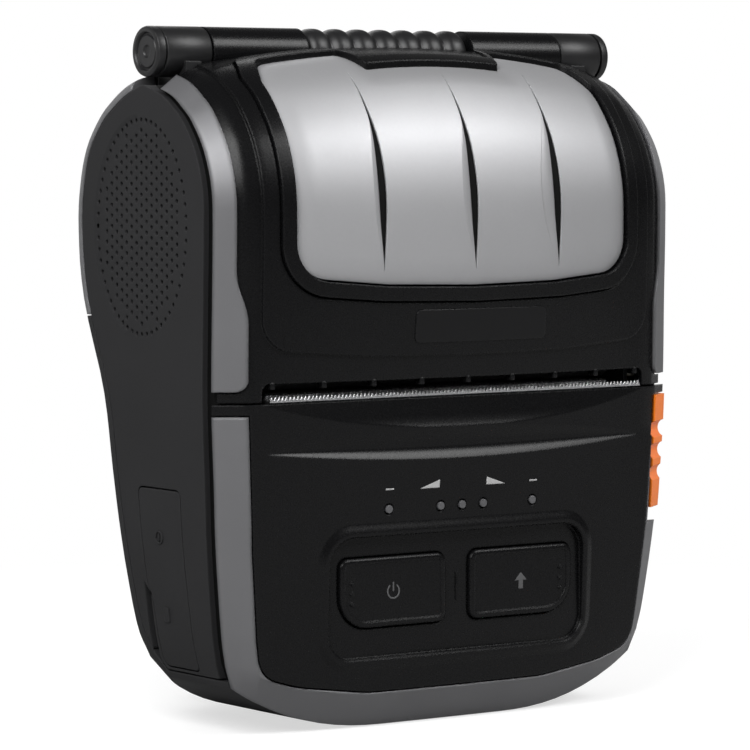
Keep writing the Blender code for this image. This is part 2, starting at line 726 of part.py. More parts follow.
def body(inset, blends=BLENDS_PER_LEVEL, shares=EDGE_SHARES):
    """The whole body as one closed loft across its width, moved inwards by the inset."""
    levels = body_levels(blends)
    stations = [-s for s in shares[:0:-1]] + list(shares)
    widths = np.concatenate([levels[:, 3], levels[::-1, 3]]) - inset
    work = bmesh.new()
    rings = []
    for s in stations:
        ring = body_ring(levels, s)
        ring = np.array(grown(ring, -inset))
        rings.append([work.verts.new((s * w, y, z)) for w, (y, z) in zip(widths, ring)])
    count = len(widths)
    for left, right in zip(rings, rings[1:]):
        for i in range(count):
            j = (i + 1) % count
            work.faces.new((left[i], left[j], right[j], right[i]))
    for ring in (rings[0], rings[-1]):
        for i in range(count // 2 - 1):
            work.faces.new((ring[i], ring[i + 1], ring[count - 2 - i], ring[count - 1 - i]))
    bmesh.ops.triangulate(work, faces=[f for f in work.faces if len(f.verts) > 3])
    return from_bmesh("body", work)


LEVELS = body_levels(BLENDS_PER_LEVEL)
STRIP_X = STRIP_START_SHARE * HALF_WIDTH
SIDE_FRONT = [(y, z) for z, y in LEVELS[:, :2]]
SIDE_REAR = [(y, z) for z, y in LEVELS[:, [0, 2]]]
PARTING_LOW = PARTING_Z - GAP / 2
PARTING_HIGH = PARTING_Z + GAP / 2
BAND_LOW = PARTING_Z - BAND_HALF
BAND_HIGH = PARTING_Z + BAND_HALF


def moved(outline, dy):
    return [(y + dy, z) for y, z in outline]


def level_at(outline, height):
    """The depth of an outline (y, z) at a height on its lower, nearly upright part."""
    low = [p for p in outline if p[1] < HINGE_Z - BARREL_RADIUS]
    return float(np.interp(height, [z for _, z in low], [y for y, _ in low]))


def side_outline(clearance):
    """The side panel's outline (y, z), drawn in by a clearance from what lies round it."""
    front = [p for p in moved(SIDE_FRONT, GAP + clearance) if p[1] > SIDE_FOOT]
    rear = [p for p in moved(SIDE_REAR, -SIDE_EDGE - clearance) if p[1] > SIDE_FOOT]
    foot_front = level_at(SIDE_FRONT, SIDE_FOOT) + GAP + clearance
    foot_rear = level_at(SIDE_REAR, SIDE_FOOT) - SIDE_EDGE - clearance
    foot = [(foot_rear, SIDE_FOOT + clearance), (foot_front, SIDE_FOOT + clearance)]
    return foot + front + rear[::-1]


def border_outline(clearance):
    """The line round the lower front panel, seen from the front, moved out by a clearance."""
    levels = body_levels(1)
    ring = body_ring(levels, STRIP_START_SHARE)
    side = [(STRIP_START_SHARE * levels[k, 3], ring[k, 1]) for k in BORDER_LEVELS]
    foot = [(s * levels[1, 3], body_ring(levels, s)[1, 1]) for s in BORDER_FOOT_SHARES]
    half = [(side[0][0], FAR)] + side + foot
    mirrored = [(-x, z) for x, z in half[::-1]]
    radii = [0] + [BORDER_BLEND] * (len(half) - 1)
    radii[len(side)] = BORDER_CORNER
    return grown(rounded(half + mirrored, radii + radii[::-1]), clearance)


def front_of_side(clearance, low, high):
    """Everything in front of the side panels, as an outline (y, z) between two heights."""
    line = [p for p in moved(SIDE_FRONT, -clearance) if low < p[1] < high]
    ends = [(level_at(SIDE_FRONT, z) - clearance, z) for z in (low, high)]
    return [(-FAR, low), ends[0]] + line + [ends[1], (-FAR, high)]


def both_sides(outline, near):
    """The outline (y, z) as two solids, from a place on each side outwards."""
    return [prism(outline, "X", side * near, side * FAR) for side in (-1, 1)]


def flap_outline(clearance):
    """The port flap, with the finger notch at its lower rear edge."""
    points = [
        (FLAP_FRONT, FLAP_LOW), (FLAP_REAR - FLAP_TAPER, FLAP_LOW),
        (FLAP_REAR - FLAP_NOTCH - FLAP_TAPER / 3, FLAP_NOTCH_Z - FLAP_NOTCH),
        (FLAP_REAR - FLAP_TAPER / 3, FLAP_NOTCH_Z + FLAP_NOTCH),
        (FLAP_REAR, FLAP_HIGH), (FLAP_FRONT, FLAP_HIGH),
    ]
    return grown(rounded(points, FLAP_CORNER, 3), clearance)


def window_space(clearance):
    """The space of the window in the cover, grown by a clearance: its front view and plan together."""
    side = WINDOW_HALF + clearance
    low = [
        (side, FAR), (side, WINDOW_SIDE_LOW - clearance),
        (side / 2, (WINDOW_LOW + WINDOW_SIDE_LOW) / 2 - SMILE_DIP - clearance), (0, WINDOW_LOW - clearance),
    ]
    radii = [0, WINDOW_CORNER + clearance, 0, 0]
    front = rounded(low + [(-x, z) for x, z in low[-2::-1]], radii + radii[-2::-1])
    top, tab = WINDOW_TOP + clearance, WINDOW_TAB_TOP + clearance
    plan = [
        (side, -FAR), (side, top - WINDOW_CORNER), (side - WINDOW_TOP_CORNER, top), (WINDOW_TAB_HALF, top),
        (WINDOW_TAB_HALF - WINDOW_TAB_SLOPE, tab),
    ]
    radii = [0, WINDOW_TOP_CORNER, WINDOW_TOP_CORNER, TAB_CORNER, TAB_CORNER]
    plan = rounded(plan + [(-x, y) for x, y in plan[::-1]], radii + radii[::-1], 3)
    return common(prism(front, "Y", -FAR, 0.0), prism(plan, "Z", 0.0, FAR))


def field_outline():
    half = [
        (FIELD_HALF, FAR), (FIELD_HALF, FIELD_SIDE_LOW),
        (FIELD_HALF / 2, (FIELD_LOW + FIELD_SIDE_LOW) / 2 - SMILE_DIP), (0, FIELD_LOW),
    ]
    mirrored = [(-x, z) for x, z in half[-2::-1]]
    radii = [0, FIELD_CORNER, 0, 0]
    return rounded(half + mirrored, radii + radii[-2::-1])


def crescent(x):
    """A cutter for one tapered groove: a wedge that follows the cover and fades at both ends."""
    work = bmesh.new()
    levels = body_levels(BLENDS_PER_LEVEL)
    ring = body_ring(levels, abs(x) / HALF_WIDTH)[: len(levels)]
    heights = np.linspace(CRESCENT_LOW, CRESCENT_TOP, CRESCENT_STEPS + 1)
    rows = []
    for i, z in enumerate(heights):
        y = np.interp(z, ring[:, 1], ring[:, 0])
        swell = math.sin(math.pi * i / CRESCENT_STEPS)
        deep = CRESCENT_DEPTH * swell - GAP
        half = CRESCENT_HALF * swell + GAP / 2
        slope = np.interp(z + GAP, ring[:, 1], ring[:, 0]) - y
        inward = Vector((0, GAP, -slope)).normalized()
        base = Vector((x, y, z)) - inward * WALL
        tip = Vector((x, y, z)) + inward * deep
        rows.append([
            work.verts.new(base - Vector((half * 2, 0, 0))),
            work.verts.new(base + Vector((half * 2, 0, 0))),
            work.verts.new(tip),
        ])
    for low, high in zip(rows, rows[1:]):
        for i in range(3):
            j = (i + 1) % 3
            work.faces.new((low[i], low[j], high[j], high[i]))
    work.faces.new(rows[0])
    work.faces.new(rows[-1][::-1])
    bmesh.ops.triangulate(work, faces=work.faces[:])
    return from_bmesh("crescent", work)


def inside():
    """The room inside the housing walls, less a gap."""
    return body(WALL + GAP, 1, CORE_SHARES)


def gear(teeth, start, end, centre, bore, turn=0.0):
    """A spur gear of the shared module, its teeth a little slim so that they run freely."""
    pitch_radius = GEAR_MODULE * teeth / 2
    points = []
    for k in range(teeth):
        middle = 2 * math.pi * k / teeth + turn
        for share, radius in (
            (-TOOTH_ROOT_SHARE, pitch_radius - GEAR_MODULE * ROOT_SHARE),
            (-TOOTH_TOP_SHARE, pitch_radius + GEAR_MODULE * TIP_SHARE),
            (TOOTH_TOP_SHARE, pitch_radius + GEAR_MODULE * TIP_SHARE),
            (TOOTH_ROOT_SHARE, pitch_radius - GEAR_MODULE * ROOT_SHARE),
        ):
            angle = middle + share * 2 * math.pi / teeth
            points.append((centre[0] + radius * math.cos(angle), centre[1] + radius * math.sin(angle)))
    solid = prism(points, "X", start, end)
    if bore:
        solid = cut(solid, cylinder(bore, start - CUT_OVERRUN, end + CUT_OVERRUN, centre, "X", 16))
    return solid


def meshed(turn, teeth, degrees, next_teeth):
    """How far the next gear is turned for its gap to face the tooth of the one before it."""
    direction = math.radians(degrees)
    share = (direction - turn) * teeth / (2 * math.pi)
    return direction + math.pi - (0.5 - share) * 2 * math.pi / next_teeth


def polar(centre, distance, degrees):
    angle = math.radians(degrees)
    return (centre[0] + distance * math.cos(angle), centre[1] + distance * math.sin(angle))


# Shared forms
LEVER_REAR = level_at(SIDE_FRONT, (LEVER_LOW + LEVER_HIGH) / 2) + LEVER_DEPTH
OUTER = body(0.0)
INNER = body(WALL, 1, CORE_SHARES)
SHELL = combine(duplicate(OUTER), INNER, "DIFFERENCE", keep_other=True)
HINGE = (HINGE_Y, HINGE_Z)
PLATEN = (PLATEN_Y, PLATEN_Z)
IDLER = polar(PLATEN, GEAR_MODULE * (PLATEN_TEETH + IDLER_TEETH) / 2 + GEAR_PLAY, IDLER_DEGREES)
PINION = polar(IDLER, GEAR_MODULE * (IDLER_TEETH + PINION_TEETH) / 2 + GEAR_PLAY, PINION_DEGREES)
PACK_FRONT = PINION[0] + MOTOR_RADIUS + MOTOR_REAR_ROOM + FRAME_WALL_THICKNESS + GAP
EVERY = (-FAR, FAR)


def side_panels():
    line = moved(SIDE_FRONT, -CUT_OVERRUN)
    band = line + moved(SIDE_FRONT, GAP + GROOVE_WIDTH)[::-1]
    for side, name in ((-1, "side_panel_left"), (1, "side_panel_right")):
        wall = prism(side_outline(0.0), "X", side * SIDE_REACH_SHARE * HALF_WIDTH, side * FAR)
        panel = common(duplicate(SHELL), wall)
        groove = prism(band, "X", side * SIDE_REACH_SHARE * HALF_WIDTH, side * FAR)
        groove = cut(groove, body(GROOVE_DEPTH, BLENDS_PER_LEVEL, CORE_SHARES))
        middle = box((-STRIP_X - GAP / 2, STRIP_X + GAP / 2), EVERY, (PARTING_Z, FAR))
        panel = cut(panel, groove, prism(border_outline(GAP / 2), "Y", -FAR, 0.0), middle)
        if side < 0:
            panel = cut(panel, prism(flap_outline(GAP), "X", -FAR, -POCKET_FLOOR))
        else:
            panel = cut(panel, lever_space())
        publish(name, panel, "side_black")


def lever_space():
    low = LEVER_LOW - LEVER_TRAVEL - GAP
    rear = LEVER_REAR + GAP
    return box((STRIP_X - GAP, FAR), (-FAR, rear), (low, LEVER_HIGH + GAP))


def rear_casing():
    low_front = SIDE_FRONT[0][0] + GAP
    region = [
        (low_front, -CUT_OVERRUN), (FAR, -CUT_OVERRUN), (FAR, FAR), (REAR_OF_BARREL, FAR),
        (REAR_OF_BARREL, PARTING_Z), (low_front, PARTING_Z),
    ]
    casing = common(duplicate(SHELL), prism(region, "X", *EVERY))
    casing = cut(casing, *both_sides(side_outline(-GAP), SIDE_REACH_SHARE * HALF_WIDTH))
    bay = box(
        (-PACK_HALF - GAP, PACK_HALF + GAP), (PACK_FRONT - GAP, FAR), (PACK_LOW - GAP, PACK_HIGH + GAP)
    )
    casing = cut(casing, bay)
    low = CATCH_MIDDLE - CATCH_STEM_LENGTH / 2 - GAP
    high = CATCH_MIDDLE + CATCH_STEM_LENGTH / 2 + CATCH_TRAVEL + GAP
    slot = box((-CATCH_STEM_HALF - GAP, CATCH_STEM_HALF + GAP), (0, FAR), (low, high))
    casing = cut(casing, slot)
    for side, name in ((-1, "rear_trim_left"), (1, "rear_trim_right")):
        corner = box((side * STRIP_X, side * FAR), (HINGE_Y, FAR), (TRIM_LOW, FAR))
        publish(name, common(duplicate(casing), corner), "frame_grey")
        room = box((side * (STRIP_X - GAP), side * FAR), (HINGE_Y, FAR), (TRIM_LOW - GAP, FAR))
        casing = cut(casing, room)
    publish("rear_casing", casing, "side_black")


def lower_bezel():
    foot = front_of_side(0.0, -CUT_OVERRUN, BAND_LOW - GAP)
    ring = common(duplicate(OUTER), prism(foot, "X", *EVERY))
    ring = cut(ring, prism(border_outline(GAP / 2), "Y", *EVERY), lever_space())
    publish("lower_bezel", ring, "frame_grey")


def front_panel():
    face = -PAD_FACE_SHARE * HALF_DEPTH
    lip_front = -LIP_FRONT_SHARE * HALF_DEPTH
    panel = common(duplicate(SHELL), prism(border_outline(-GAP / 2), "Y", -FAR, SIDE_FRONT[0][0]))
    lip = box(
        (-LIP_HALF, LIP_HALF), (-FAR, lip_front + LIP_THICKNESS), (LIP_BEVEL_LOW - LIP_THICKNESS, FAR)
    )
    panel = join(panel, common(duplicate(OUTER), lip))
    backing = box((-PAD_HALF, PAD_HALF), (-FAR, face + PAD_FLOOR), (PAD_LOW, PAD_HIGH))
    panel = join(panel, common(duplicate(OUTER), backing))
    for end in both_sides(front_of_side(0.0, BAND_LOW, PARTING_Z), STRIP_X - WALL / 2):
        panel = join(panel, cut(common(duplicate(OUTER), end), lever_space()))
    for x in (-BOSS_X, BOSS_X):
        for z in (BOSS_LOW, BOSS_HIGH):
            boss = cylinder(BOSS_RADIUS, -HALF_DEPTH, -BOARD_BACK - BOARD_THICKNESS - GAP, (x, z), "Y", 12)
            panel = join(panel, common(boss, body(WALL / 2, 1, CORE_SHARES)))
    above = box(EVERY, EVERY, (PARTING_LOW, FAR * 2))
    mid_front = np.interp(LIP_BEVEL_LOW, LEVELS[:, 5], LEVELS[:, 4])
    run = (lip_front - mid_front) / (PARTING_Z - LIP_BEVEL_LOW)
    bevel = prism(
        [
            (mid_front - run * CUT_OVERRUN, LIP_BEVEL_LOW - CUT_OVERRUN),
            (lip_front + run * CUT_OVERRUN, PARTING_Z + CUT_OVERRUN), (-FAR, PARTING_Z + CUT_OVERRUN),
            (-FAR, LIP_BEVEL_LOW - CUT_OVERRUN),
        ],
        "X", *EVERY,
    )
    pad = prism(rounded(rectangle((-PAD_HALF, PAD_HALF), (PAD_LOW, PAD_HIGH)), PAD_CORNER), "Y", -FAR, face)
    panel = cut(panel, above, bevel, pad)
    for side in (-1, 1):
        panel = cut(panel, prism(button_outline(side, GAP), "Y", *EVERY))
    for x in led_places():
        panel = cut(panel, cylinder(LED_RADIUS + GAP, -FAR, -BOARD_BACK, (x, LED_Z), "Y", 12))
    mark_z = (BUTTON_MIDDLE - MARK_LENGTH / 2, BUTTON_MIDDLE + MARK_LENGTH / 2)
    mark = box((-MARK_HALF, MARK_HALF), (face - STEP_DEPTH, face + WALL / 4), mark_z)
    panel = join(panel, mark)
    publish("front_panel", panel, "front_black")


def led_places():
    return [share * HALF_WIDTH for share in LED_PLACES_SHARES]


def button_outline(side, clearance):
    points = [
        (side * BUTTON_INNER, BUTTON_LOW), (side * BUTTON_OUTER, BUTTON_LOW),
        (side * BUTTON_OUTER, BUTTON_HIGH), (side * BUTTON_INNER, BUTTON_HIGH),
    ]
    return grown(rounded(points, list(BUTTON_CORNERS)), clearance)


def buttons():
    face = -PAD_FACE_SHARE * HALF_DEPTH
    back = face + PAD_FLOOR + GAP
    for side, name in ((-1, "power_button"), (1, "feed_button")):
        middle = side * (BUTTON_INNER + BUTTON_OUTER) / 2
        outline = button_outline(side, 0.0)
        cap = prism(outline, "Y", face - BUTTON_RISE, back + FLANGE_THICKNESS / 2)
        flange = prism(grown(outline, BUTTON_FLANGE), "Y", back, back + FLANGE_THICKNESS)
        button = join(cap, flange)
        dots_x = side * (BUTTON_OUTER - DOT_INSET)
        top = face - BUTTON_RISE - DOT_RADIUS
        for k in (-1, 0, 1):
            dot = cylinder(DOT_RADIUS, top, face, (dots_x, BUTTON_MIDDLE + k * DOT_PITCH), "Y", 8)
            button = join(button, dot)
        publish(name, button, "front_black", (middle, face, BUTTON_MIDDLE))


def light_guide():
    face = -BOARD_BACK - BOARD_THICKNESS - GAP - GUIDE_THICKNESS
    z = (LED_Z - GUIDE_HEIGHT / 2, LED_Z + GUIDE_HEIGHT / 2)
    bar = box((-GUIDE_HALF, GUIDE_HALF), (face, face + GUIDE_THICKNESS), z)
    levels = body_levels(1)
    for x in led_places():
        ring = body_ring(levels, abs(x) / HALF_WIDTH)[: len(levels)]
        front = np.interp(LED_Z, ring[:, 1], ring[:, 0])
        post = cylinder(LED_RADIUS, front - GAP / 2, face + GUIDE_THICKNESS / 2, (x, LED_Z), "Y", 12)
        bar = join(bar, post)
    publish("led_light_guide", bar, "lens_grey")


def main_board():
    front = -BOARD_BACK - BOARD_THICKNESS
    board = box((-BOARD_HALF, BOARD_HALF), (front, -BOARD_BACK), (BOARD_LOW, BOARD_HIGH))
    back_of_button = -PAD_FACE_SHARE * HALF_DEPTH + PAD_FLOOR + GAP + FLANGE_THICKNESS
    x = (BUTTON_INNER + BUTTON_OUTER) / 2
    for side in (-1, 1):
        switch = box(
            (side * x - SWITCH_HALF, side * x + SWITCH_HALF),
            (back_of_button + BUTTON_TRAVEL + GAP, -BOARD_BACK - BOARD_THICKNESS / 2),
            (BUTTON_MIDDLE - SWITCH_HALF, BUTTON_MIDDLE + SWITCH_HALF),
        )
        board = join(board, switch)
    publish("main_board", board, "board_green")


def tear_bar():
    """The blade over the lip, its teeth as a row of points along the front edge."""
    front = -LIP_FRONT_SHARE * HALF_DEPTH - BLADE_REACH
    teeth = round(2 * BLADE_HALF / TOOTH_PITCH)
    pitch = 2 * BLADE_HALF / teeth
    edge = [
        (-BLADE_HALF + k * pitch / 2, front + (TOOTH_DEPTH if k % 2 == 0 else 0))
        for k in range(2 * teeth + 1)
    ]
    outline = [(-BLADE_HALF, front + BLADE_DEPTH)] + edge + [(BLADE_HALF, front + BLADE_DEPTH)]
    publish("tear_bar", prism(outline, "Z", PARTING_HIGH, PARTING_HIGH + BLADE_THICKNESS), "steel")


def frame_line(clearance):
    """The line between the cover's black front and its grey frames, seen from the front."""
    wide = STRIP_X + SHOULDER_WIDTH
    half = [
        (wide, FAR), (wide, WAIST_HIGH), (STRIP_X, WAIST_LOW), (STRIP_X, BAND_HIGH), (FAR, BAND_HIGH),
        (FAR, -CUT_OVERRUN),
    ]
    radii = [0, WAIST_BLEND, WAIST_BLEND, FRAME_CORNER, 0, 0]
    mirrored = [(-x, z) for x, z in half[::-1]]
    return grown(rounded(half + mirrored, radii + radii[::-1]), clearance)


def cover_corner(side):
    """The solid corner of the cover in front of one flank, before it is shared out."""
    line = [p for p in SIDE_FRONT if p[1] > PARTING_HIGH and p[0] < FRONT_OF_BARREL]
    arch = np.array(SIDE_FRONT[len(SIDE_FRONT) // 2 :])
    end = np.interp(FRONT_OF_BARREL, arch[:, 0], arch[:, 1])
    outline = [(-FAR, PARTING_HIGH), (level_at(SIDE_FRONT, PARTING_HIGH), PARTING_HIGH)] + line
    outline += [(FRONT_OF_BARREL, end), (FRONT_OF_BARREL, FAR), (-FAR, FAR)]
    return common(duplicate(OUTER), prism(outline, "X", side * (STRIP_X - WALL / 2), side * FAR))


def cover_shell():
    region = [
        (-FAR, PARTING_HIGH), (PLATEN_Y, PARTING_HIGH), (PLATEN_Y, HINGE_Z - WEB_DROP - FOOT_DEPTH),
        (FRONT_OF_BARREL, HINGE_Z - BARREL_RADIUS), (FRONT_OF_BARREL, FAR), (-FAR, FAR),
    ]
    half = STRIP_X - GAP / 2
    cover = common(duplicate(SHELL), prism(region, "X", -half, half))
    for side in (-1, 1):
        cover = join(cover, common(cover_corner(side), prism(frame_line(-GAP / 2), "Y", *EVERY)))
    band = box(EVERY, (-FAR, HINGE_Y), (0, FAR))
    cover = cut(cover, cut(band, prism(field_outline(), "Y", *EVERY), body(STEP_DEPTH)))
    cover = cut(cover, window_space(RIM_WIDTH + GAP))
    slot = rounded(rectangle((-SLOT_HALF, SLOT_HALF), (PARTING_Z - CUT_OVERRUN, SLOT_TOP)), SLOT_CORNER)
    cover = cut(cover, prism(slot, "Y", *EVERY))
    for side in (-1, 1):
        start = CENTRE_BARREL_LENGTH / 2 + GAP
        end = FRAME_BARREL_START - GAP
        knuckle = cylinder(BARREL_RADIUS, side * start, side * end, HINGE, "X", BARREL_SIDES)
        web = box(
            (side * (start + GAP), side * (end - GAP)), (FRONT_OF_BARREL - WEB_DEPTH, HINGE_Y),
            (HINGE_Z - WEB_DROP, HINGE_Z + GAP),
        )
        cover = join(cover, knuckle, common(web, body(STEP_DEPTH + GAP)))
    cover = cut(cover, cylinder(PIN_RADIUS + GAP, -HALF_WIDTH, HALF_WIDTH, HINGE, "X", 16))
    room = GEAR_MODULE * (PLATEN_TEETH / 2 + TIP_SHARE) + RUNNING_GAP
    cover = cut(cover, cylinder(room, GEAR_START - RUNNING_GAP, GEAR_END + RUNNING_GAP, PLATEN, "X", 32))
    publish("cover_shell", cover, "front_black", (0, *HINGE))


def cover_frames():
    for side, name in ((-1, "cover_frame_left"), (1, "cover_frame_right")):
        frame = cut(cover_corner(side), prism(frame_line(GAP / 2), "Y", *EVERY))
        publish(name, frame, "frame_grey", (0, *HINGE))


def window():
    pane = common(duplicate(SHELL), window_space(-GAP))
    first = -(CRESCENT_COUNT - 1) / 2
    for k in range(CRESCENT_COUNT):
        pane = cut(pane, crescent((first + k) * GROOVE_PITCH))
    publish("window_panel", pane, "window_silver", (0, *HINGE))
    proud = cut(body(-RIM_RISE), duplicate(INNER))
    ring = common(proud, window_space(RIM_WIDTH))
    ring = cut(ring, window_space(0.0))
    publish("window_rim", ring, "front_black", (0, *HINGE))


def hinge():
    pin = cylinder(PIN_RADIUS, -HALF_WIDTH + CAP_LENGTH + GAP, HALF_WIDTH - CAP_LENGTH - GAP, HINGE, "X", 16)
    publish("hinge_pin", pin, "steel")
    bore = PIN_RADIUS + GAP
    for side, name in ((-1, "left"), (1, "right")):
        start = FRAME_BARREL_START
        end = HALF_WIDTH - CAP_LENGTH - GAP
        barrel = cylinder(BARREL_RADIUS, side * start, side * end, HINGE, "X", BARREL_SIDES)
        foot = box(
            (side * FOOT_START, side * (STRIP_X - GAP)),
            (HINGE_Y - FOOT_REACH, HINGE_Y + FOOT_REACH), (HINGE_Z - FOOT_DEPTH - BARREL_RADIUS, HINGE_Z),
        )
        bracket = cut(
            join(barrel, foot),
            cylinder(bore, side * (start - CUT_OVERRUN), side * (end + CUT_OVERRUN), HINGE, "X", 16),
        )
        publish("hinge_bracket_" + name, bracket, "inner_black")
        inner, outer, dish = HALF_WIDTH - CAP_LENGTH, HALF_WIDTH, HALF_WIDTH - CAP_DISH
        profile = [
            (inner, 0.0), (inner, BARREL_RADIUS), (outer - CAP_ROUND, BARREL_RADIUS),
            (outer, BARREL_RADIUS - CAP_ROUND), (outer, BARREL_RADIUS - 2 * CAP_ROUND),
            ((outer + dish) / 2 - CAP_ROUND / 4, BARREL_RADIUS / 2), (dish, 0.0),
        ]
        cap = turned([(side * along, radius) for along, radius in profile], HINGE)
        publish("hinge_cap_" + name, cap, "inner_black")
    half = CENTRE_BARREL_LENGTH / 2
    profile = [(-half, bore), (-half, BARREL_RADIUS)]
    ribs = int(CENTRE_BARREL_LENGTH // RIB_PITCH)
    for k in range(ribs):
        middle = (k - (ribs - 1) / 2) * RIB_PITCH
        low = BARREL_RADIUS - RIB_HEIGHT
        if k:
            profile += [(middle - RIB_PITCH / 2, low), (middle - RIB_WIDTH / 2, BARREL_RADIUS)]
        if k < ribs - 1:
            profile += [(middle + RIB_WIDTH / 2, BARREL_RADIUS)]
    profile += [(half, BARREL_RADIUS), (half, bore), (-half, bore)]
    barrel = turned(profile, HINGE)
    low = BAY_Z + BAY_RADIUS + GAP
    rear = REAR_OF_BARREL - 2 * GAP
    post = box((-half + GAP, half - GAP), (HINGE_Y, rear), (low, HINGE_Z - bore - GAP))
    rear = REAR_OF_BARREL + SADDLE_REACH
    tab = box((-half + 2 * GAP, half - 2 * GAP), (HINGE_Y + GAP, rear), (low + GAP, HINGE_Z))
    tab = common(tab, inside())
    publish("hinge_centre_barrel", join(barrel, post, tab), "inner_black")


def roll_bay():
    """The trough that holds the roll: an open arc of wall with a cheek at each end."""
    start = math.radians(BAY_START_DEGREES)
    end = -math.acos((CHEEK_FRONT + BAY_TO_CHEEK - BAY_Y) / BAY_RADIUS)
    angles = [start + (end - start) * k / BAY_STEPS for k in range(BAY_STEPS + 1)]

    def arc(radius):
        return [(BAY_Y + radius * math.cos(a), BAY_Z + radius * math.sin(a)) for a in angles]

    trough = prism(arc(BAY_RADIUS) + arc(BAY_RADIUS - BAY_WALL)[::-1], "X", -BAY_HALF, BAY_HALF)
    behind = box(EVERY, (CHEEK_FRONT, FAR), EVERY)
    for side in (-1, 1):
        disc = cylinder(
            BAY_RADIUS - BAY_WALL / 2, side * (BAY_HALF - BAY_WALL), side * (BAY_HALF - BAY_WALL / 4),
            (BAY_Y, BAY_Z), "X", 44,
        )
        trough = join(trough, common(disc, duplicate(behind)))
    drop(behind)
    publish("roll_bay", trough, "inner_black")


def platen():
    roller = cylinder(PLATEN_RADIUS, -MEDIA_WIDTH / 2, MEDIA_WIDTH / 2, PLATEN, "X", 36)
    bore = SHAFT_RADIUS
    roller = cut(roller, cylinder(bore + GAP, -HALF_WIDTH, HALF_WIDTH, PLATEN, "X", 16))
    publish("platen_roller", roller, "rubber_black", (0, *PLATEN))
    publish("platen_shaft", cylinder(bore, -BUSH_END, SHAFT_END, PLATEN, "X", 16), "steel", (0, *PLATEN))
    wheel = gear(PLATEN_TEETH, GEAR_START, GEAR_END, PLATEN, bore + GAP)
    publish("platen_gear", wheel, "gear_white", (0, *PLATEN))
    for side, name in ((-1, "platen_bush_left"), (1, "platen_bush_right")):
        bush = cylinder(BUSH_RADIUS, side * BUSH_START, side * BUSH_END, PLATEN, "X", 24)
        bush = cut(bush, cylinder(bore + GAP, -HALF_WIDTH, HALF_WIDTH, PLATEN, "X", 16))
        publish(name, bush, "gear_white", (0, *HINGE))
    half = (ARM_START + ARM_END) / 2
    beam = common(box((-half, half), (-FAR, BEAM_REAR), (BEAM_LOW, BEAM_HIGH)), inside())
    top = BEAM_HIGH - BEAM_HEIGHT / 4
    eye = [polar(PLATEN, ARM_BOSS, 180 + 180 * k / EYE_STEPS) for k in range(EYE_STEPS + 1)]
    outline = eye + [(eye[-1][0], BEAM_LOW), (BEAM_REAR, top), (eye[0][0], top)]
    for side in (-1, 1):
        beam = join(beam, prism(outline, "X", side * ARM_START, side * ARM_END))
    beam = cut(beam, cylinder(bore + GAP, -HALF_WIDTH, HALF_WIDTH, PLATEN, "X", 16))
    publish("platen_bracket", beam, "inner_black", (0, *HINGE))


def inner_frame():
    """The frame inside: the wall in front of the battery, two cheeks and the print head's deck."""
    wall_rear = PACK_FRONT - GAP
    wall_front = wall_rear - FRAME_WALL_THICKNESS
    half, low_half = FRAME_END - GAP, FRAME_WALL_HALF
    wall = [
        (low_half, 0.0), (low_half, FRAME_SHOULDER - (half - low_half)), (half, FRAME_SHOULDER),
        (half, FRAME_WALL_HIGH),
    ]
    wall += [(-x, z) for x, z in wall[::-1]]
    frame = common(prism(wall, "Y", wall_front, wall_rear), inside())
    deck = box((-half, half), (DECK_FRONT, DECK_REAR), (DECK_Z, DECK_Z + DECK_THICKNESS))
    seat = BUSH_RADIUS + RUNNING_GAP
    for side in (-1, 1):
        cheek = prism(
            [
                (DECK_FRONT - GAP, DECK_Z - FRAME_WALL_THICKNESS), (wall_rear - GAP, FRAME_SHOULDER - GAP),
                (wall_rear - GAP, FRAME_WALL_HIGH - GAP),
                (IDLER[0] + BUSH_RADIUS, BAY_Z - BAY_RADIUS + BUSH_RADIUS),
                (PLATEN_Y + seat, PLATEN_Z + seat), (PLATEN_Y, PLATEN_Z + seat),
                (DECK_FRONT - GAP, PLATEN_Z),
            ],
            "X", side * FRAME_START, side * FRAME_END,
        )
        way_out = box(EVERY, (-FAR, PLATEN_Y), (PLATEN_Z - seat, FAR))
        hollow = cylinder(seat, side * (FRAME_START - GAP), side * (FRAME_END + GAP), PLATEN, "X", 24)
        frame = join(frame, cut(cheek, way_out, hollow))
    frame = join(frame, deck)
    axle = cylinder(AXLE_RADIUS, FRAME_START + GAP, AXLE_END, IDLER, "X", 16)
    frame = join(frame, axle)
    hole = MOTOR_SHAFT_RADIUS + RUNNING_GAP
    frame = cut(frame, cylinder(hole, FRAME_START - GAP, FRAME_END + GAP, PINION, "X", 16))
    publish("inner_frame", frame, "inner_black")


def drive():
    idler_turn = meshed(0.0, PLATEN_TEETH, IDLER_DEGREES, IDLER_TEETH)
    pinion_turn = meshed(idler_turn, IDLER_TEETH, PINION_DEGREES, PINION_TEETH)
    publish(
        "idler_gear", gear(IDLER_TEETH, GEAR_START, GEAR_END, IDLER, AXLE_RADIUS + GAP, idler_turn),
        "gear_white", (0, *IDLER),
    )
    pinion = gear(PINION_TEETH, GEAR_START, GEAR_END, PINION, 0, pinion_turn)
    shaft = cylinder(MOTOR_SHAFT_RADIUS, FRAME_START - GAP - MOTOR_NOSE, GEAR_END, PINION, "X", 16)
    publish("motor_pinion", join(pinion, shaft), "gear_white", (0, *PINION))
    motor = cylinder(MOTOR_RADIUS, MOTOR_START, FRAME_START - GAP, PINION, "X", 32)
    nose = cylinder(
        MOTOR_SHAFT_RADIUS + RUNNING_GAP, FRAME_START - GAP - MOTOR_NOSE - GAP, FRAME_END, PINION, "X", 16
    )
    publish("drive_motor", cut(motor, nose), "steel")


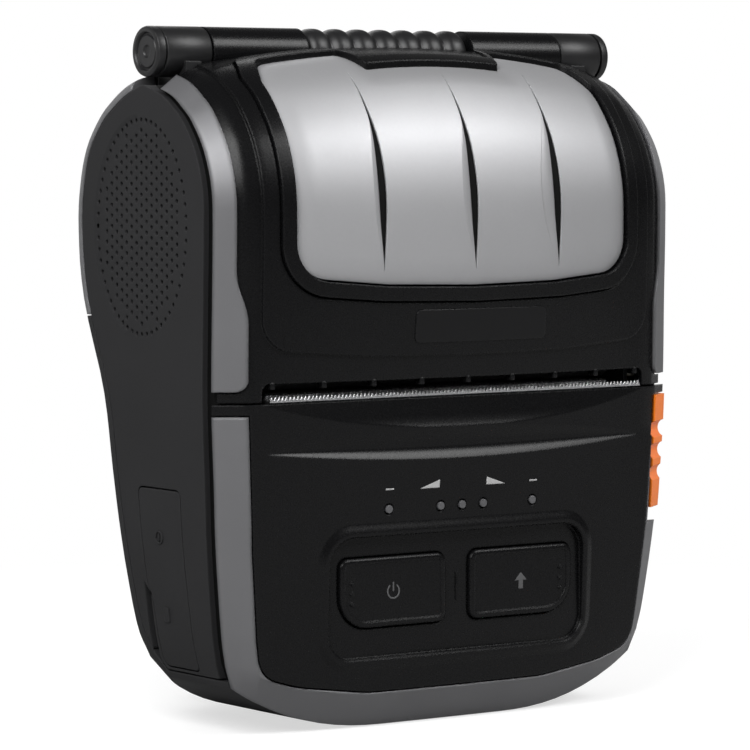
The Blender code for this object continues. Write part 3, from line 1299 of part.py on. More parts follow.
def print_head():
    bottom = HEAD_TOP - HEAD_THICKNESS
    head = box((-HEAD_HALF, HEAD_HALF), (HEAD_FRONT, HEAD_REAR), (bottom, HEAD_TOP), HEAD_EDGE, 1)
    publish("print_head", head, "steel")
    bracket = box(
        (-HEAD_STEM_HALF, HEAD_STEM_HALF), (DECK_FRONT + WALL / 2, DECK_REAR - GAP),
        (DECK_Z + DECK_THICKNESS + GAP, bottom - GAP),
    )
    publish("head_bracket", bracket, "inner_black")


def release_lever():
    grip = box((STRIP_X + GAP, HALF_WIDTH), (-FAR, LEVER_REAR), (LEVER_LOW, LEVER_HIGH))
    lever = common(body(-LEVER_RISE), grip)
    slope = math.atan2(STRIP_DEPTH, HALF_WIDTH - STRIP_X)
    middle_x = (STRIP_X + HALF_WIDTH) / 2
    middle_y = LEVER_REAR - LEVER_DEPTH - STRIP_DEPTH / 2
    for k in range(LEVER_NOTCHES):
        z = (LEVER_LOW + LEVER_HIGH) / 2 + (k - (LEVER_NOTCHES - 1) / 2) * LEVER_NOTCH_PITCH
        notch = cylinder(LEVER_NOTCH_RADIUS, -CUT_OVERRUN, CUT_OVERRUN, (0, 0), "X", 16)
        place = Matrix.Translation((middle_x, middle_y - LEVER_NOTCH_RADIUS / 2, z))
        notch.data.transform(place @ Matrix.Rotation(slope, 4, "Z"))
        lever = cut(lever, notch)
    publish("release_lever", lever, "lever_orange")
    low = LEVER_LOW - LEVER_TRAVEL
    back_x = (STRIP_X - GAP - GUIDE_WALL, STRIP_X - GAP)
    guide = box(back_x, (LEVER_REAR - LEVER_DEPTH, LEVER_REAR + GUIDE_WALL), (low, LEVER_HIGH))
    rear = box((back_x[0], FAR), (LEVER_REAR + GAP, LEVER_REAR + GAP + GUIDE_WALL), (low, LEVER_HIGH))
    publish("lever_guide", common(join(guide, rear), inside()), "inner_black")


def port():
    skin = cut(duplicate(OUTER), body(FLAP_THICKNESS, BLENDS_PER_LEVEL, CORE_SHARES))
    flap = common(skin, prism(flap_outline(0.0), "X", -FAR, -POCKET_FLOOR))
    hinge_x = -float(np.interp((FLAP_LOW + FLAP_HIGH) / 2, LEVELS[:, 0], LEVELS[:, 3]))
    publish("port_flap", flap, "side_black", (hinge_x, FLAP_FRONT, (FLAP_LOW + FLAP_HIGH) / 2))
    y = (FLAP_FRONT - GAP - POCKET_WALL, FLAP_REAR + GAP + POCKET_WALL)
    z = (FLAP_LOW - GAP - POCKET_WALL, FLAP_HIGH + GAP + POCKET_WALL)
    tub = box((-FAR, -POCKET_FLOOR + POCKET_WALL + SOCKET_DEPTH), y, z)
    tub = common(tub, inside())
    hollow = box(
        (-FAR, -POCKET_FLOOR), (y[0] + POCKET_WALL, y[1] - POCKET_WALL),
        (z[0] + POCKET_WALL, z[1] - POCKET_WALL),
    )
    tub = cut(tub, hollow)
    middle = (y[0] + y[1]) / 2
    for (tall, wide), height in ((USB_SIZE, USB_Z), (SERIAL_SIZE, SERIAL_Z)):
        mouth = box(
            (-FAR, -POCKET_FLOOR + SOCKET_DEPTH), (middle - wide / 2, middle + wide / 2),
            (height - tall / 2, height + tall / 2),
        )
        tub = cut(tub, mouth)
    publish("port_housing", tub, "inner_black")


def battery():
    pack = box((-PACK_HALF, PACK_HALF), (PACK_FRONT, HALF_DEPTH), (PACK_LOW, PACK_HIGH), PACK_CORNER, 4)
    publish("battery_pack", pack, "side_black")
    surface = np.interp(CATCH_MIDDLE, LEVELS[:, 7], LEVELS[:, 6])
    thumb = box(
        (-CATCH_HALF, CATCH_HALF), (surface + GAP, surface + GAP + CATCH_THICKNESS), (CATCH_LOW, CATCH_HIGH),
        CATCH_THICKNESS / 3, 2,
    )
    stem = box(
        (-CATCH_STEM_HALF, CATCH_STEM_HALF), (surface - WALL - CATCH_THICKNESS, surface + CATCH_THICKNESS),
        (CATCH_MIDDLE - CATCH_STEM_LENGTH / 2, CATCH_MIDDLE + CATCH_STEM_LENGTH / 2),
    )
    flange = box(
        (-CATCH_HALF, CATCH_HALF), (surface - WALL - 2 * GAP - CATCH_THICKNESS, surface - WALL - 2 * GAP),
        (CATCH_LOW, CATCH_HIGH),
    )
    publish("battery_catch", join(thumb, stem, flange), "lever_orange")
    half = CONTACT_PITCH * CONTACTS / 2
    rear = PACK_FRONT - FRAME_WALL_THICKNESS - 2 * GAP
    low = PACK_LOW + PACK_CORNER
    contacts = box((-half, half), (rear - CATCH_THICKNESS, rear), (low, low + 2 * CONTACT_PITCH))
    publish("battery_contacts", contacts, "gold")


side_panels()
rear_casing()
lower_bezel()
front_panel()
buttons()
light_guide()
main_board()
tear_bar()
cover_shell()
cover_frames()
window()
hinge()
roll_bay()
platen()
inner_frame()
drive()
print_head()
release_lever()
port()
battery()
for tool in (OUTER, INNER, SHELL):
    drop(tool)
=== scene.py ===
# %% [markdown]
# # Dressing a portable label printer
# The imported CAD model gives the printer's real sizes, bodies and joints. This script loads it as a
# fixed frame and dresses it: the moulded shells are rebuilt finely over the coarse solids, small
# details are added, and every surface gets a material worked out from what it is made of.
# Everything is in metres, with the front towards -Y.

import json
import math

import bmesh
import bpy
import numpy as np
from mathutils import Matrix, Vector
from mathutils.bvhtree import BVHTree
from mathutils.interpolate import poly_3d_calc


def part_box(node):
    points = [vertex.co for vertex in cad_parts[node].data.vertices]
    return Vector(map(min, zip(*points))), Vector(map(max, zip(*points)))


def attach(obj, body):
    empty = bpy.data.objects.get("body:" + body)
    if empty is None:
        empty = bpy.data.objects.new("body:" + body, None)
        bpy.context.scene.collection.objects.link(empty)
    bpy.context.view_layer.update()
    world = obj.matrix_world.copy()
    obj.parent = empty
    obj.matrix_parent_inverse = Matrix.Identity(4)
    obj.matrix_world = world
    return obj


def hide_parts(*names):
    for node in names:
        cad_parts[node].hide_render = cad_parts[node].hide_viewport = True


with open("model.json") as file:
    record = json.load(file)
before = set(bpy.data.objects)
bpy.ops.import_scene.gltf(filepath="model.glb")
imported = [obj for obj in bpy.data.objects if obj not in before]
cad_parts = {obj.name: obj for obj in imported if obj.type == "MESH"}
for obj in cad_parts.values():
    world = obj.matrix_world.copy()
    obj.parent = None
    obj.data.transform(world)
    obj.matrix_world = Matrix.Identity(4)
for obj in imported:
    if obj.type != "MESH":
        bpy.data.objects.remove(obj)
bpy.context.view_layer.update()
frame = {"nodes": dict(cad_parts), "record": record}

# %% [markdown]
# ## Camera
# The photograph was taken from the printer's left front, a little above its middle, with a long
# lens, so the upright edges stay almost parallel. The angle and the distance were fitted to the
# corners of the body, so the camera is set by them and not by eye.

# %% The camera
MM = 0.001
YAW, PITCH = math.radians(35.8), math.radians(3.4)
DISTANCE = 756 * MM
TARGET = Vector((0, 0, 64 * MM))
FOCAL_PIXELS, PICTURE_PIXELS, SENSOR = 4000, 750, 36.0
CENTRE_PIXELS = (383, 369.4)

camera = bpy.data.objects.new("camera", bpy.data.cameras.new("camera"))
bpy.context.scene.collection.objects.link(camera)
forward = Vector((math.sin(YAW) * math.cos(PITCH), math.cos(YAW) * math.cos(PITCH), -math.sin(PITCH)))
camera.location = TARGET - forward * DISTANCE
camera.rotation_euler = forward.to_track_quat("-Z", "Y").to_euler()
camera.data.sensor_width = SENSOR
camera.data.lens = FOCAL_PIXELS / PICTURE_PIXELS * SENSOR
camera.data.shift_x = 0.5 - CENTRE_PIXELS[0] / PICTURE_PIXELS
camera.data.shift_y = CENTRE_PIXELS[1] / PICTURE_PIXELS - 0.5
camera.data.clip_start, camera.data.clip_end = 0.01, 20.0
bpy.context.scene.camera = camera
print("Lens, mm:", round(camera.data.lens, 1))

# %% [markdown]
# ## Colour and nodes
# A colour picked from a screen is an sRGB value, while Blender's sockets take linear light, so one
# function turns a hex code into linear. A second one adds a node with its settings and links, so a
# material reads as a short list.

# %% Two small tools for materials
def linear(code):
    """An sRGB hex code as linear red, green, blue and 1."""
    parts = [int(code[i : i + 2], 16) / 255 for i in (1, 3, 5)]
    return tuple(c / 12.92 if c <= 0.04045 else ((c + 0.055) / 1.055) ** 2.4 for c in parts) + (1.0,)


def add_node(tree, kind, inputs=None, **settings):
    """Adds a node. An input is a value, or a node's output to link from."""
    node = tree.nodes.new("ShaderNode" + kind)
    for name, value in settings.items():
        setattr(node, name, value)
    for name, value in (inputs or {}).items():
        if isinstance(value, bpy.types.NodeSocket):
            tree.links.new(value, node.inputs[name])
        else:
            node.inputs[name].default_value = value
    return node


# %% [markdown]
# ## Finishes
# Almost everything here is injection-moulded ABS or polycarbonate, and what the eye sees is how the
# mould was finished: polished for the front, spark-eroded to a fine grain for the sides, and painted
# over for the two grey frames. So one recipe serves them all. A grain of a real size in millimetres
# goes into the bump and the roughness, slow variation goes into the colour, and the edges, found by
# comparing a rounded normal with the true one, get a painted highlight: their colour is made paler.

# %% The moulded finish
def moulded(name, colour, roughness, grain, depth, edge=0.25, spread=0.10, edge_mm=0.25, **shader_inputs):
    """A moulded or painted plastic: its grain's size and depth and its edge rounding are in millimetres; edge
    sets the painted highlight, how much paler the edges are made.
    """
    material = bpy.data.materials.new(name)
    material.use_nodes = True
    tree = material.node_tree
    shader = tree.nodes["Principled BSDF"]
    place = add_node(tree, "NewGeometry")
    rounded_edge = add_node(tree, "Bevel", {"Radius": edge_mm * MM}, samples=4)
    agree = add_node(
        tree, "VectorMath", {0: rounded_edge.outputs["Normal"], 1: place.outputs["Normal"]},
        operation="DOT_PRODUCT",
    )
    # Painted highlight: this mask finds the rounded edges, whose colour is made paler as if they caught the
    # light.
    edge_highlight_mask = add_node(
        tree, "MapRange", {
            "Value": agree.outputs["Value"], "From Min": 0.995, "From Max": 0.90, "To Max": edge
        }
    )
    coords = add_node(tree, "TexCoord")
    speck = add_node(
        tree, "TexNoise", {"Vector": coords.outputs["Object"], "Scale": 1 / (grain * MM), "Detail": 2.0}
    )
    cloud = add_node(
        tree, "TexNoise", {"Vector": coords.outputs["Object"], "Scale": 1 / (14 * MM), "Detail": 3.0}
    )
    dark = [c * (1 - spread) for c in linear(colour)[:3]] + [1.0]
    pale = [min(1.0, c * (1 + spread)) for c in linear(colour)[:3]] + [1.0]
    tone = add_node(tree, "Mix", {"Factor": cloud.outputs["Fac"], 6: dark, 7: pale}, data_type="RGBA")
    # Painted highlight: the paler colour laid on the edges.
    highlight_colour = [min(1.0, c * 2.2 + 0.01) for c in linear(colour)[:3]] + [1.0]
    highlighted_tone = add_node(
        tree, "Mix", {"Factor": edge_highlight_mask.outputs["Result"], 6: tone.outputs[2], 7: highlight_colour}, data_type="RGBA"
    )
    rough = add_node(
        tree, "MapRange", {
            "Value": speck.outputs["Fac"], "To Min": roughness - 0.05, "To Max": roughness + 0.07
        }
    )
    bump = add_node(
        tree, "Bump", {
            "Height": speck.outputs["Fac"], "Distance": depth * MM, "Strength": 1.0,
            "Normal": rounded_edge.outputs["Normal"],
        },
    )
    tree.links.new(highlighted_tone.outputs[2], shader.inputs["Base Color"])
    tree.links.new(rough.outputs["Result"], shader.inputs["Roughness"])
    tree.links.new(bump.outputs["Normal"], shader.inputs["Normal"])
    for socket, value in shader_inputs.items():
        shader.inputs[socket.replace("_", " ")].default_value = value
    return material


FINISHES = {
    # Polished ABS with a satin lacquer: near black, with soft clear reflections.
    "front_black": moulded(
        "satin_black_abs", "#0b0b0c", 0.26, 0.45, 0.0012, edge_mm=0.45, Specular_IOR_Level=0.18
    ),
    # Spark-eroded ABS: a matte charcoal whose fine grain breaks up any highlight.
    "side_black": moulded(
        "grained_charcoal_abs", "#272728", 0.62, 0.40, 0.006, edge_mm=0.45, Specular_IOR_Level=0.09
    ),
    # Grey metallic paint over ABS: flakes too fine to show are drawn 0.35 mm wide.
    "frame_grey": moulded(
        "metallic_grey_paint", "#68686a", 0.42, 0.35, 0.0012, Metallic=0.45, edge=0.12, edge_mm=0.80
    ),
    # Smoked polycarbonate with a silvered back: it mirrors the room softly.
    "window_silver": moulded(
        "silvered_polycarbonate", "#a6a6a8", 0.50, 0.60, 0.0005, Metallic=0.65, edge=0.10, spread=0.03
    ),
    # Pigmented orange ABS, satin from the mould.
    "lever_orange": moulded("orange_abs", "#f07a1e", 0.42, 0.40, 0.010, edge=0.10),
    # Stamped stainless steel: bright, with a faint ground texture.
    "steel": moulded("stamped_steel", "#c9c9cb", 0.26, 0.20, 0.004, Metallic=1.0, edge=0.10),
    # Silicone rubber of the platen: dull and slightly dusty.
    "rubber_black": moulded("silicone_rubber", "#242424", 0.80, 0.30, 0.015, edge=0.05),
    # Glass-filled nylon of the inner parts: dark, with a dry speckle.
    "inner_black": moulded("glass_filled_nylon", "#232324", 0.52, 0.35, 0.020, edge=0.20),
    # Acetal gears: waxy off-white.
    "gear_white": moulded("acetal", "#cfcabc", 0.45, 0.50, 0.004, edge=0.05),
    # Solder mask over glass-epoxy board.
    "board_green": moulded("green_solder_mask", "#1f5a38", 0.38, 0.50, 0.006, edge=0.20),
    # Clear acrylic of the light guide, tinted grey when unlit.
    "lens_grey": moulded("unlit_acrylic", "#4e4e50", 0.22, 0.60, 0.002, edge=0.10),
    # Gold flash over spring contacts.
    "gold": moulded("gold_flash", "#c79a4b", 0.28, 0.30, 0.004, Metallic=1.0, edge=0.05),
    # Pad-printed grey ink of the marks: flat and slightly chalky.
    "mark_ink": moulded("pad_printed_ink", "#a2a2a2", 0.60, 0.30, 0.003, edge=0.0),
    # Glyphs on the keys: the same ink, thin and dark so that it hardly shows.
    "key_ink": moulded("faint_pad_print", "#4a4a4b", 0.50, 0.30, 0.003, edge=0.0),
    # Bare plate on the cover: the same black, but polished a little more.
    "plate_black": moulded("polished_black_abs", "#0e0e0f", 0.22, 0.60, 0.0006, Specular_IOR_Level=0.20),
    # Painted shade: a near-black matte sheet laid in the flank grooves and in the window creases, where there is
    # only shade.
    "groove_black": moulded(
        "painted_shade_black", "#070707", 0.70, 0.40, 0.002, edge=0.0, Specular_IOR_Level=0.10
    ),
    # Hinge barrels: glass-filled nylon, darker and closer than the inner parts.
    "hinge_black": moulded("hinge_nylon", "#161617", 0.40, 0.35, 0.004, Specular_IOR_Level=0.40),
}
print("Finishes:", len(FINISHES))

# %% [markdown]
# ## The body's form
# All the outer shells of this printer are cut from one smooth body. Its side view is a figure eight:
# slim at the foot and full round the paper roll. A loft is the natural way to make it: a table gives
# the side view's levels, a smooth curve runs through them, and the outline is carried across the
# width while its front and rear curve back towards the sides.

# %% The table of levels
HEIGHT, HALF_DEPTH, HALF_WIDTH = 0.128, 0.0293, 0.052
WALL, GAP = 0.0026, 0.0003
STRIP_SHARE = 0.895
STRIP_DEPTH = 0.0039
LEVEL_SHARES = (
    (0.070, -0.580, 0.068, 0.885, -0.635, 0.000, 0.444, 0.000),
    (0.102, -0.601, 0.212, 0.915, -0.799, 0.052, 0.631, 0.023),
    (0.148, -0.618, 0.307, 0.938, -0.816, 0.117, 0.703, 0.094),
    (0.266, -0.655, 0.382, 0.973, -0.836, 0.266, 0.768, 0.266),
    (0.364, -0.672, 0.444, 0.987, -0.870, 0.364, 0.819, 0.364),
    (0.473, -0.683, 0.505, 1.000, -0.922, 0.473, 0.881, 0.473),
    (0.606, -0.693, 0.751, 1.000, -0.986, 0.609, 0.962, 0.617),
    (0.708, -0.703, 0.819, 1.000, -1.000, 0.711, 0.976, 0.711),
    (0.770, -0.693, 0.799, 1.000, -0.980, 0.781, 0.949, 0.777),
    (0.823, -0.611, 0.724, 1.000, -0.898, 0.848, 0.853, 0.836),
    (0.864, -0.478, 0.570, 1.000, -0.744, 0.906, 0.703, 0.883),
    (0.884, -0.369, 0.444, 1.000, -0.580, 0.943, 0.532, 0.914),
    (0.902, -0.239, 0.297, 1.000, -0.392, 0.964, 0.341, 0.936),
    (0.916, -0.034, 0.119, 1.000, -0.154, 0.973, 0.154, 0.945),
)


def smooth_rows(rows, blends):
    """Rows on a smooth curve through the given ones, with some blends from each to the next."""
    padded = np.vstack([2 * rows[0] - rows[1], rows, 2 * rows[-1] - rows[-2]])
    result = []
    for i in range(len(rows) - 1):
        a, b, c, d = padded[i : i + 4]
        for t in np.arange(blends) / blends:
            result.append(
                b + t * (c - a) / 2 + t**2 * (a - 2.5 * b + 2 * c - d / 2)
                + t**3 * (-a + 3 * b - 3 * c + d) / 2
            )
    return np.vstack([result, rows[-1]])


def body_levels(blends):
    levels = np.array(LEVEL_SHARES, float)
    levels = np.vstack([levels[:1], smooth_rows(levels[1:], blends)])
    return levels * np.array(
        (HEIGHT, HALF_DEPTH, HALF_DEPTH, HALF_WIDTH, HALF_DEPTH, HEIGHT, HALF_DEPTH, HEIGHT)
    )


FINE_LEVELS = body_levels(4)
print("Levels:", len(FINE_LEVELS))


# %% [markdown]
# The front bows across the width and then turns back over a flat grey strip to the side. The rear
# rounds off like a super-ellipse. Near the base both edges rise towards the sides in a smile.

# %% The outline at a place across the width
def body_ring(levels, share):
    """The outline (y, z) at a share of the half width: up the front, then down the rear."""
    side_z, side_front, side_rear, _, mid_front, mid_front_z, mid_rear, mid_rear_z = levels.T
    share = abs(share)
    line = np.stack([side_front, side_z], axis=1)
    along = np.gradient(line, axis=0)
    along /= np.linalg.norm(along, axis=1)[:, None]
    depth = np.full(len(levels), STRIP_DEPTH)
    depth[0] *= 0.13
    edge = line + np.stack([-along[:, 1], along[:, 0]], axis=1) * depth[:, None]
    low = side_z < 0.21 * HEIGHT
    rise = max(0.0, (share - 0.30) / 0.70) ** 2.3
    crown = min(1.0, share / STRIP_SHARE) ** 2
    front = np.stack([mid_front, mid_front_z], axis=1) * (1 - crown) + edge * crown
    if share > STRIP_SHARE:
        out = (share - STRIP_SHARE) / (1 - STRIP_SHARE)
        front = edge * (1 - out) + line * out
    front[low, 1] = (mid_front_z + (side_z - mid_front_z) * rise)[low]
    power = 2.2 + 0.8 * np.clip((side_z / HEIGHT - 0.50) / 0.16, 0, 1)
    fall = 1 - (1 - share**power) ** (1 / power)
    rear = np.stack(
        [mid_rear + (side_rear - mid_rear) * fall, mid_rear_z + (side_z - mid_rear_z) * fall], axis=1
    )
    rear[low, 1] = (mid_rear_z + (side_z - mid_rear_z) * rise)[low]
    return np.vstack([front, rear[::-1]])


def grown(outline, distance):
    """The outline moved outwards by a distance, or inwards where it is negative."""
    points = np.array(outline, float)
    after = np.roll(points, -1, axis=0)
    turning = np.sum(points[:, 0] * after[:, 1] - after[:, 0] * points[:, 1])
    along = after - points
    along /= np.linalg.norm(along, axis=1)[:, None]
    normal = np.stack([along[:, 1], -along[:, 0]], axis=1) * np.sign(turning)
    mean = normal + np.roll(normal, 1, axis=0)
    mean /= np.linalg.norm(mean, axis=1)[:, None]
    return points + mean * (distance / np.maximum(np.sum(mean * normal, axis=1), 0.5))[:, None]


# %% The loft
def new_object(name, work):
    bmesh.ops.recalc_face_normals(work, faces=work.faces)
    mesh = bpy.data.meshes.new(name)
    work.to_mesh(mesh)
    work.free()
    obj = bpy.data.objects.new(name, mesh)
    bpy.context.scene.collection.objects.link(obj)
    return obj


EVEN_SHARES = list(np.linspace(0, STRIP_SHARE, 13)) + [0.915, 0.935, 0.953, 0.968, 0.980, 0.989, 0.995, 1.0]
CORE_SHARES = (0.0, 0.30, 0.54, 0.73, 0.85, STRIP_SHARE, 0.95, 1.0)


def body(inset=0.0, levels=FINE_LEVELS, shares=EVEN_SHARES):
    """The whole body as one closed form, moved inwards by the inset."""
    stations = [-s for s in shares[:0:-1]] + list(shares)
    widths = np.concatenate([levels[:, 3], levels[::-1, 3]]) - inset
    count = len(widths)
    work = bmesh.new()
    rings = []
    for s in stations:
        ring = grown(body_ring(levels, s), -inset) if inset else body_ring(levels, s)
        rings.append([work.verts.new((s * w, y, z)) for w, (y, z) in zip(widths, ring)])
    for left, right in zip(rings, rings[1:]):
        for i in range(count):
            j = (i + 1) % count
            work.faces.new((left[i], left[j], right[j], right[i]))
    for ring in (rings[0], rings[-1]):
        for i in range(count // 2 - 1):
            work.faces.new((ring[i], ring[i + 1], ring[count - 2 - i], ring[count - 1 - i]))
    bmesh.ops.triangulate(work, faces=[f for f in work.faces if len(f.verts) > 3])
    return new_object("body", work)


# %% [markdown]
# ## Cutting tools
# Each shell is the body's wall cut to its own outline, just as a pattern maker would saw one master
# into panels. Booleans do the sawing. Every one is worked in at once on a plain mesh, because a
# stack of live modifiers would be slow and hard to read.

# %% Booleans and blocks
def drop(*objects):
    for obj in objects:
        bpy.data.objects.remove(obj, do_unlink=True)


def copy_of(obj):
    result = bpy.data.objects.new(obj.name, obj.data.copy())
    bpy.context.scene.collection.objects.link(result)
    return result


def settled(obj):
    """A plain mesh object with the given one's modifiers worked in. The given one is used up."""
    graph = bpy.context.evaluated_depsgraph_get()
    graph.update()
    result = bpy.data.objects.new(obj.name, bpy.data.meshes.new_from_object(obj.evaluated_get(graph)))
    result.data.transform(obj.matrix_world)
    bpy.context.scene.collection.objects.link(result)
    drop(obj)
    return result


def combine(target, operation, *others):
    for other in others:
        modifier = target.modifiers.new("boolean", "BOOLEAN")
        modifier.operation, modifier.object, modifier.solver = operation, other, "EXACT"
        target = settled(target)
        drop(other)
    return target


def cut(target, *others):
    return combine(target, "DIFFERENCE", *others)


def join(target, *others):
    return combine(target, "UNION", *others)


def common(target, *others):
    return combine(target, "INTERSECT", *others)


def box(x, y, z, bevel=0.0, segments=3):
    """A block between two places along each axis, its edges rounded if asked."""
    work = bmesh.new()
    bmesh.ops.create_cube(work, size=1)
    spans = [(min(pair), max(pair)) for pair in (x, y, z)]
    scale = Matrix.Diagonal([high - low for low, high in spans] + [1])
    centre = Matrix.Translation([(low + high) / 2 for low, high in spans])
    bmesh.ops.transform(work, matrix=centre @ scale, verts=work.verts)
    if bevel:
        bmesh.ops.bevel(
            work, geom=work.edges[:], offset=bevel, segments=segments, profile=0.5, affect="EDGES"
        )
    return new_object("box", work)


TURNS = {
    "X": Matrix.Rotation(math.pi / 2, 4, "Y"), "Y": Matrix.Rotation(-math.pi / 2, 4, "X"),
    "Z": Matrix.Identity(4),
}


def cylinder(radius, start, end, centre, axis="X", sides=32, end_radius=None):
    """A cylinder, or a cone with an end radius, along an axis."""
    work = bmesh.new()
    bmesh.ops.create_cone(
        work, cap_ends=True, segments=sides, radius1=radius, radius2=end_radius or radius, depth=abs(
            end - start
        )
    )
    middle, (a, b) = (start + end) / 2, centre
    place = {"X": (middle, a, b), "Y": (a, middle, b), "Z": (a, b, middle)}[axis]
    bmesh.ops.transform(work, matrix=Matrix.Translation(place) @ TURNS[axis], verts=work.verts)
    return new_object("cylinder", work)


def prism(outline, axis, start, end):
    """A flat outline made thick along an axis. Its points are the other two places, in order."""
    curve = bpy.data.curves.new("outline", "CURVE")
    curve.dimensions, curve.fill_mode, curve.extrude = "2D", "BOTH", abs(end - start) / 2
    spline = curve.splines.new("POLY")
    spline.points.add(len(outline) - 1)
    for point, (a, b) in zip(spline.points, outline):
        point.co = (a, b, 0, 1)
    spline.use_cyclic_u = True
    flat = bpy.data.objects.new("outline", curve)
    bpy.context.scene.collection.objects.link(flat)
    solid = settled(flat)
    middle = (start + end) / 2
    rows = {
        "X": ((0, 0, 1, middle), (1, 0, 0, 0), (0, 1, 0, 0), (0, 0, 0, 1)),
        "Y": ((1, 0, 0, 0), (0, 0, -1, middle), (0, 1, 0, 0), (0, 0, 0, 1)),
        "Z": ((1, 0, 0, 0), (0, 1, 0, 0), (0, 0, 1, middle), (0, 0, 0, 1)),
    }[axis]
    work = bmesh.new()
    work.from_mesh(solid.data)
    drop(solid)
    bmesh.ops.remove_doubles(work, verts=work.verts, dist=0.000002)
    bmesh.ops.transform(work, matrix=Matrix(rows), verts=work.verts)
    return new_object("prism", work)


def rounded(outline, radii, steps=8):
    """The outline with each corner rounded by an arc of its radius."""
    result, count = [], len(outline)
    for i in range(count):
        here = Vector(outline[i])
        back, ahead = Vector(outline[i - 1]) - here, Vector(outline[(i + 1) % count]) - here
        radius = radii[i] if isinstance(radii, (list, tuple)) else radii
        half = back.angle(ahead) / 2
        if not radius or half > math.radians(88):
            result.append(tuple(here))
            continue
        reach = min(radius / math.tan(half), 0.49 * back.length, 0.49 * ahead.length)
        radius = reach * math.tan(half)
        start, end = here + back.normalized() * reach, here + ahead.normalized() * reach
        centre = here + (back.normalized() + ahead.normalized()).normalized() * radius / math.sin(half)
        first = start - centre
        sweep = first.angle_signed(end - centre)
        for k in range(steps + 1):
            turn = -sweep * k / steps
            result.append((
                centre.x + first.x * math.cos(turn) - first.y * math.sin(turn),
                centre.y + first.x * math.sin(turn) + first.y * math.cos(turn),
            ))
    return result


# %% [markdown]
# ## Finishing a shell
# A boolean leaves long thin faces along its cuts, and on a glossy surface their averaged normals
# show as dents. The cure is to borrow the shading from the uncut body: wherever a face lies on the
# body's skin, each of its corners takes the body's own smooth normal at that point.

# %% Shading borrowed from the uncut body
MASTER = body()
MASTER.data.shade_smooth()
MASTER.data.set_sharp_from_angle(angle=math.radians(30))
MASTER_TREE = BVHTree.FromObject(MASTER, bpy.context.evaluated_depsgraph_get())
MASTER_FACES = [
    (
        [MASTER.data.vertices[v].co.copy() for v in face.vertices],
        [MASTER.data.corner_normals[corner].vector.copy() for corner in face.loop_indices],
    )
    for face in MASTER.data.polygons
]
NEAR_SKIN, SAME_WAY, INTO_FACE = 0.0018, 0.955, 0.02


def skin_normal(point, near=NEAR_SKIN):
    """The uncut body's smooth normal nearest to a point, or nothing where it is too far."""
    place, _, index, distance = MASTER_TREE.find_nearest(point)
    if index is None or distance > near:
        return None
    corners, normals = MASTER_FACES[index]
    weights = poly_3d_calc(corners, place)
    return sum((normal * weight for normal, weight in zip(normals, weights)), Vector()).normalized()


def skin_depth(x, z):
    """How far back the body's front skin lies at a place seen from the front."""
    return MASTER_TREE.ray_cast(Vector((x, -1, z)), Vector((0, 1, 0)))[0].y


def on_skin(mesh, near):
    """Each corner of the faces on the skin, with the point it looks up and the skin's normal there."""
    for face in mesh.polygons:
        ours = skin_normal(face.center, near)
        if ours is None or ours.dot(face.normal) < SAME_WAY:
            continue
        for corner in face.loop_indices:
            point = mesh.vertices[mesh.loops[corner].vertex_index].co.lerp(face.center, INTO_FACE)
            normal = skin_normal(point)
            yield corner, point, normal if normal and normal.dot(face.normal) > SAME_WAY else ours


def finish_piece(obj, name, body_name, slot_name, nodes=(), sharp=32, skin=False, near=NEAR_SKIN):
    """Names a piece, shades it, gives it its finish and ties it to its body."""
    work = bmesh.new()
    work.from_mesh(obj.data)
    bmesh.ops.remove_doubles(work, verts=work.verts, dist=0.000003)
    bmesh.ops.dissolve_degenerate(work, edges=work.edges, dist=0.000003)
    work.to_mesh(obj.data)
    work.free()
    mesh = obj.data
    mesh.shade_smooth()
    mesh.set_sharp_from_angle(angle=math.radians(sharp))
    if skin:
        normals = [corner.vector.copy() for corner in mesh.corner_normals]
        for corner, _, normal in on_skin(mesh, near):
            normals[corner] = normal
        mesh.normals_split_custom_set(normals)
    obj.name = mesh.name = name
    mesh.materials.clear()
    mesh.materials.append(FINISHES[slot_name])
    if nodes:
        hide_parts(*nodes)
    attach(obj, body_name)
    return obj


# %% [markdown]
# ## Shared lines
# The panels meet along a few lines: the side's front edge, the border round the front panel, the
# parting line between cover and base, and the hinge. They are the CAD's own lines.

# %% Lines and places
FAR = 0.138
EVERY = (-FAR, FAR)
PARTING = 0.4727 * HEIGHT
LOW_EDGE, HIGH_EDGE = PARTING - GAP / 2, PARTING + GAP / 2
BARREL = 0.00465
HINGE_Y, HINGE_Z = 0.048 * HALF_DEPTH, HEIGHT - BARREL
HINGE = (HINGE_Y, HINGE_Z)
BARREL_FRONT, BARREL_REAR = HINGE_Y - BARREL - GAP, HINGE_Y + BARREL + GAP
STRIP_X = STRIP_SHARE * HALF_WIDTH
SIDE_FRONT = [(y, z) for z, y in FINE_LEVELS[:, :2]]
SIDE_REAR = [(y, z) for z, y in FINE_LEVELS[:, [0, 2]]]
INNER = body(WALL, body_levels(1), CORE_SHARES)
SHELL = combine(copy_of(MASTER), "DIFFERENCE", copy_of(INNER))


def moved(outline, dy):
    return [(y + dy, z) for y, z in outline]


def depth_at(outline, height):
    """The depth of an outline (y, z) at a height on its lower, nearly upright part."""
    low = [p for p in outline if p[1] < HINGE_Z - BARREL]
    return float(np.interp(height, [z for _, z in low], [y for y, _ in low]))


def border_outline(clearance):
    """The line round the lower front panel, seen from the front."""
    levels = body_levels(1)
    ring = body_ring(levels, STRIP_SHARE)
    side = [(STRIP_SHARE * levels[k, 3], ring[k, 1]) for k in (5, 3, 2, 1)]
    foot = [(s * levels[1, 3], body_ring(levels, s)[1, 1]) for s in (0.73, 0.42)]
    half = [(side[0][0], FAR)] + side + foot
    radii = [0] + [0.030] * (len(half) - 1)
    radii[len(side)] = 0.007
    return grown(rounded(half + [(-x, z) for x, z in half[::-1]], radii + radii[::-1]), clearance)


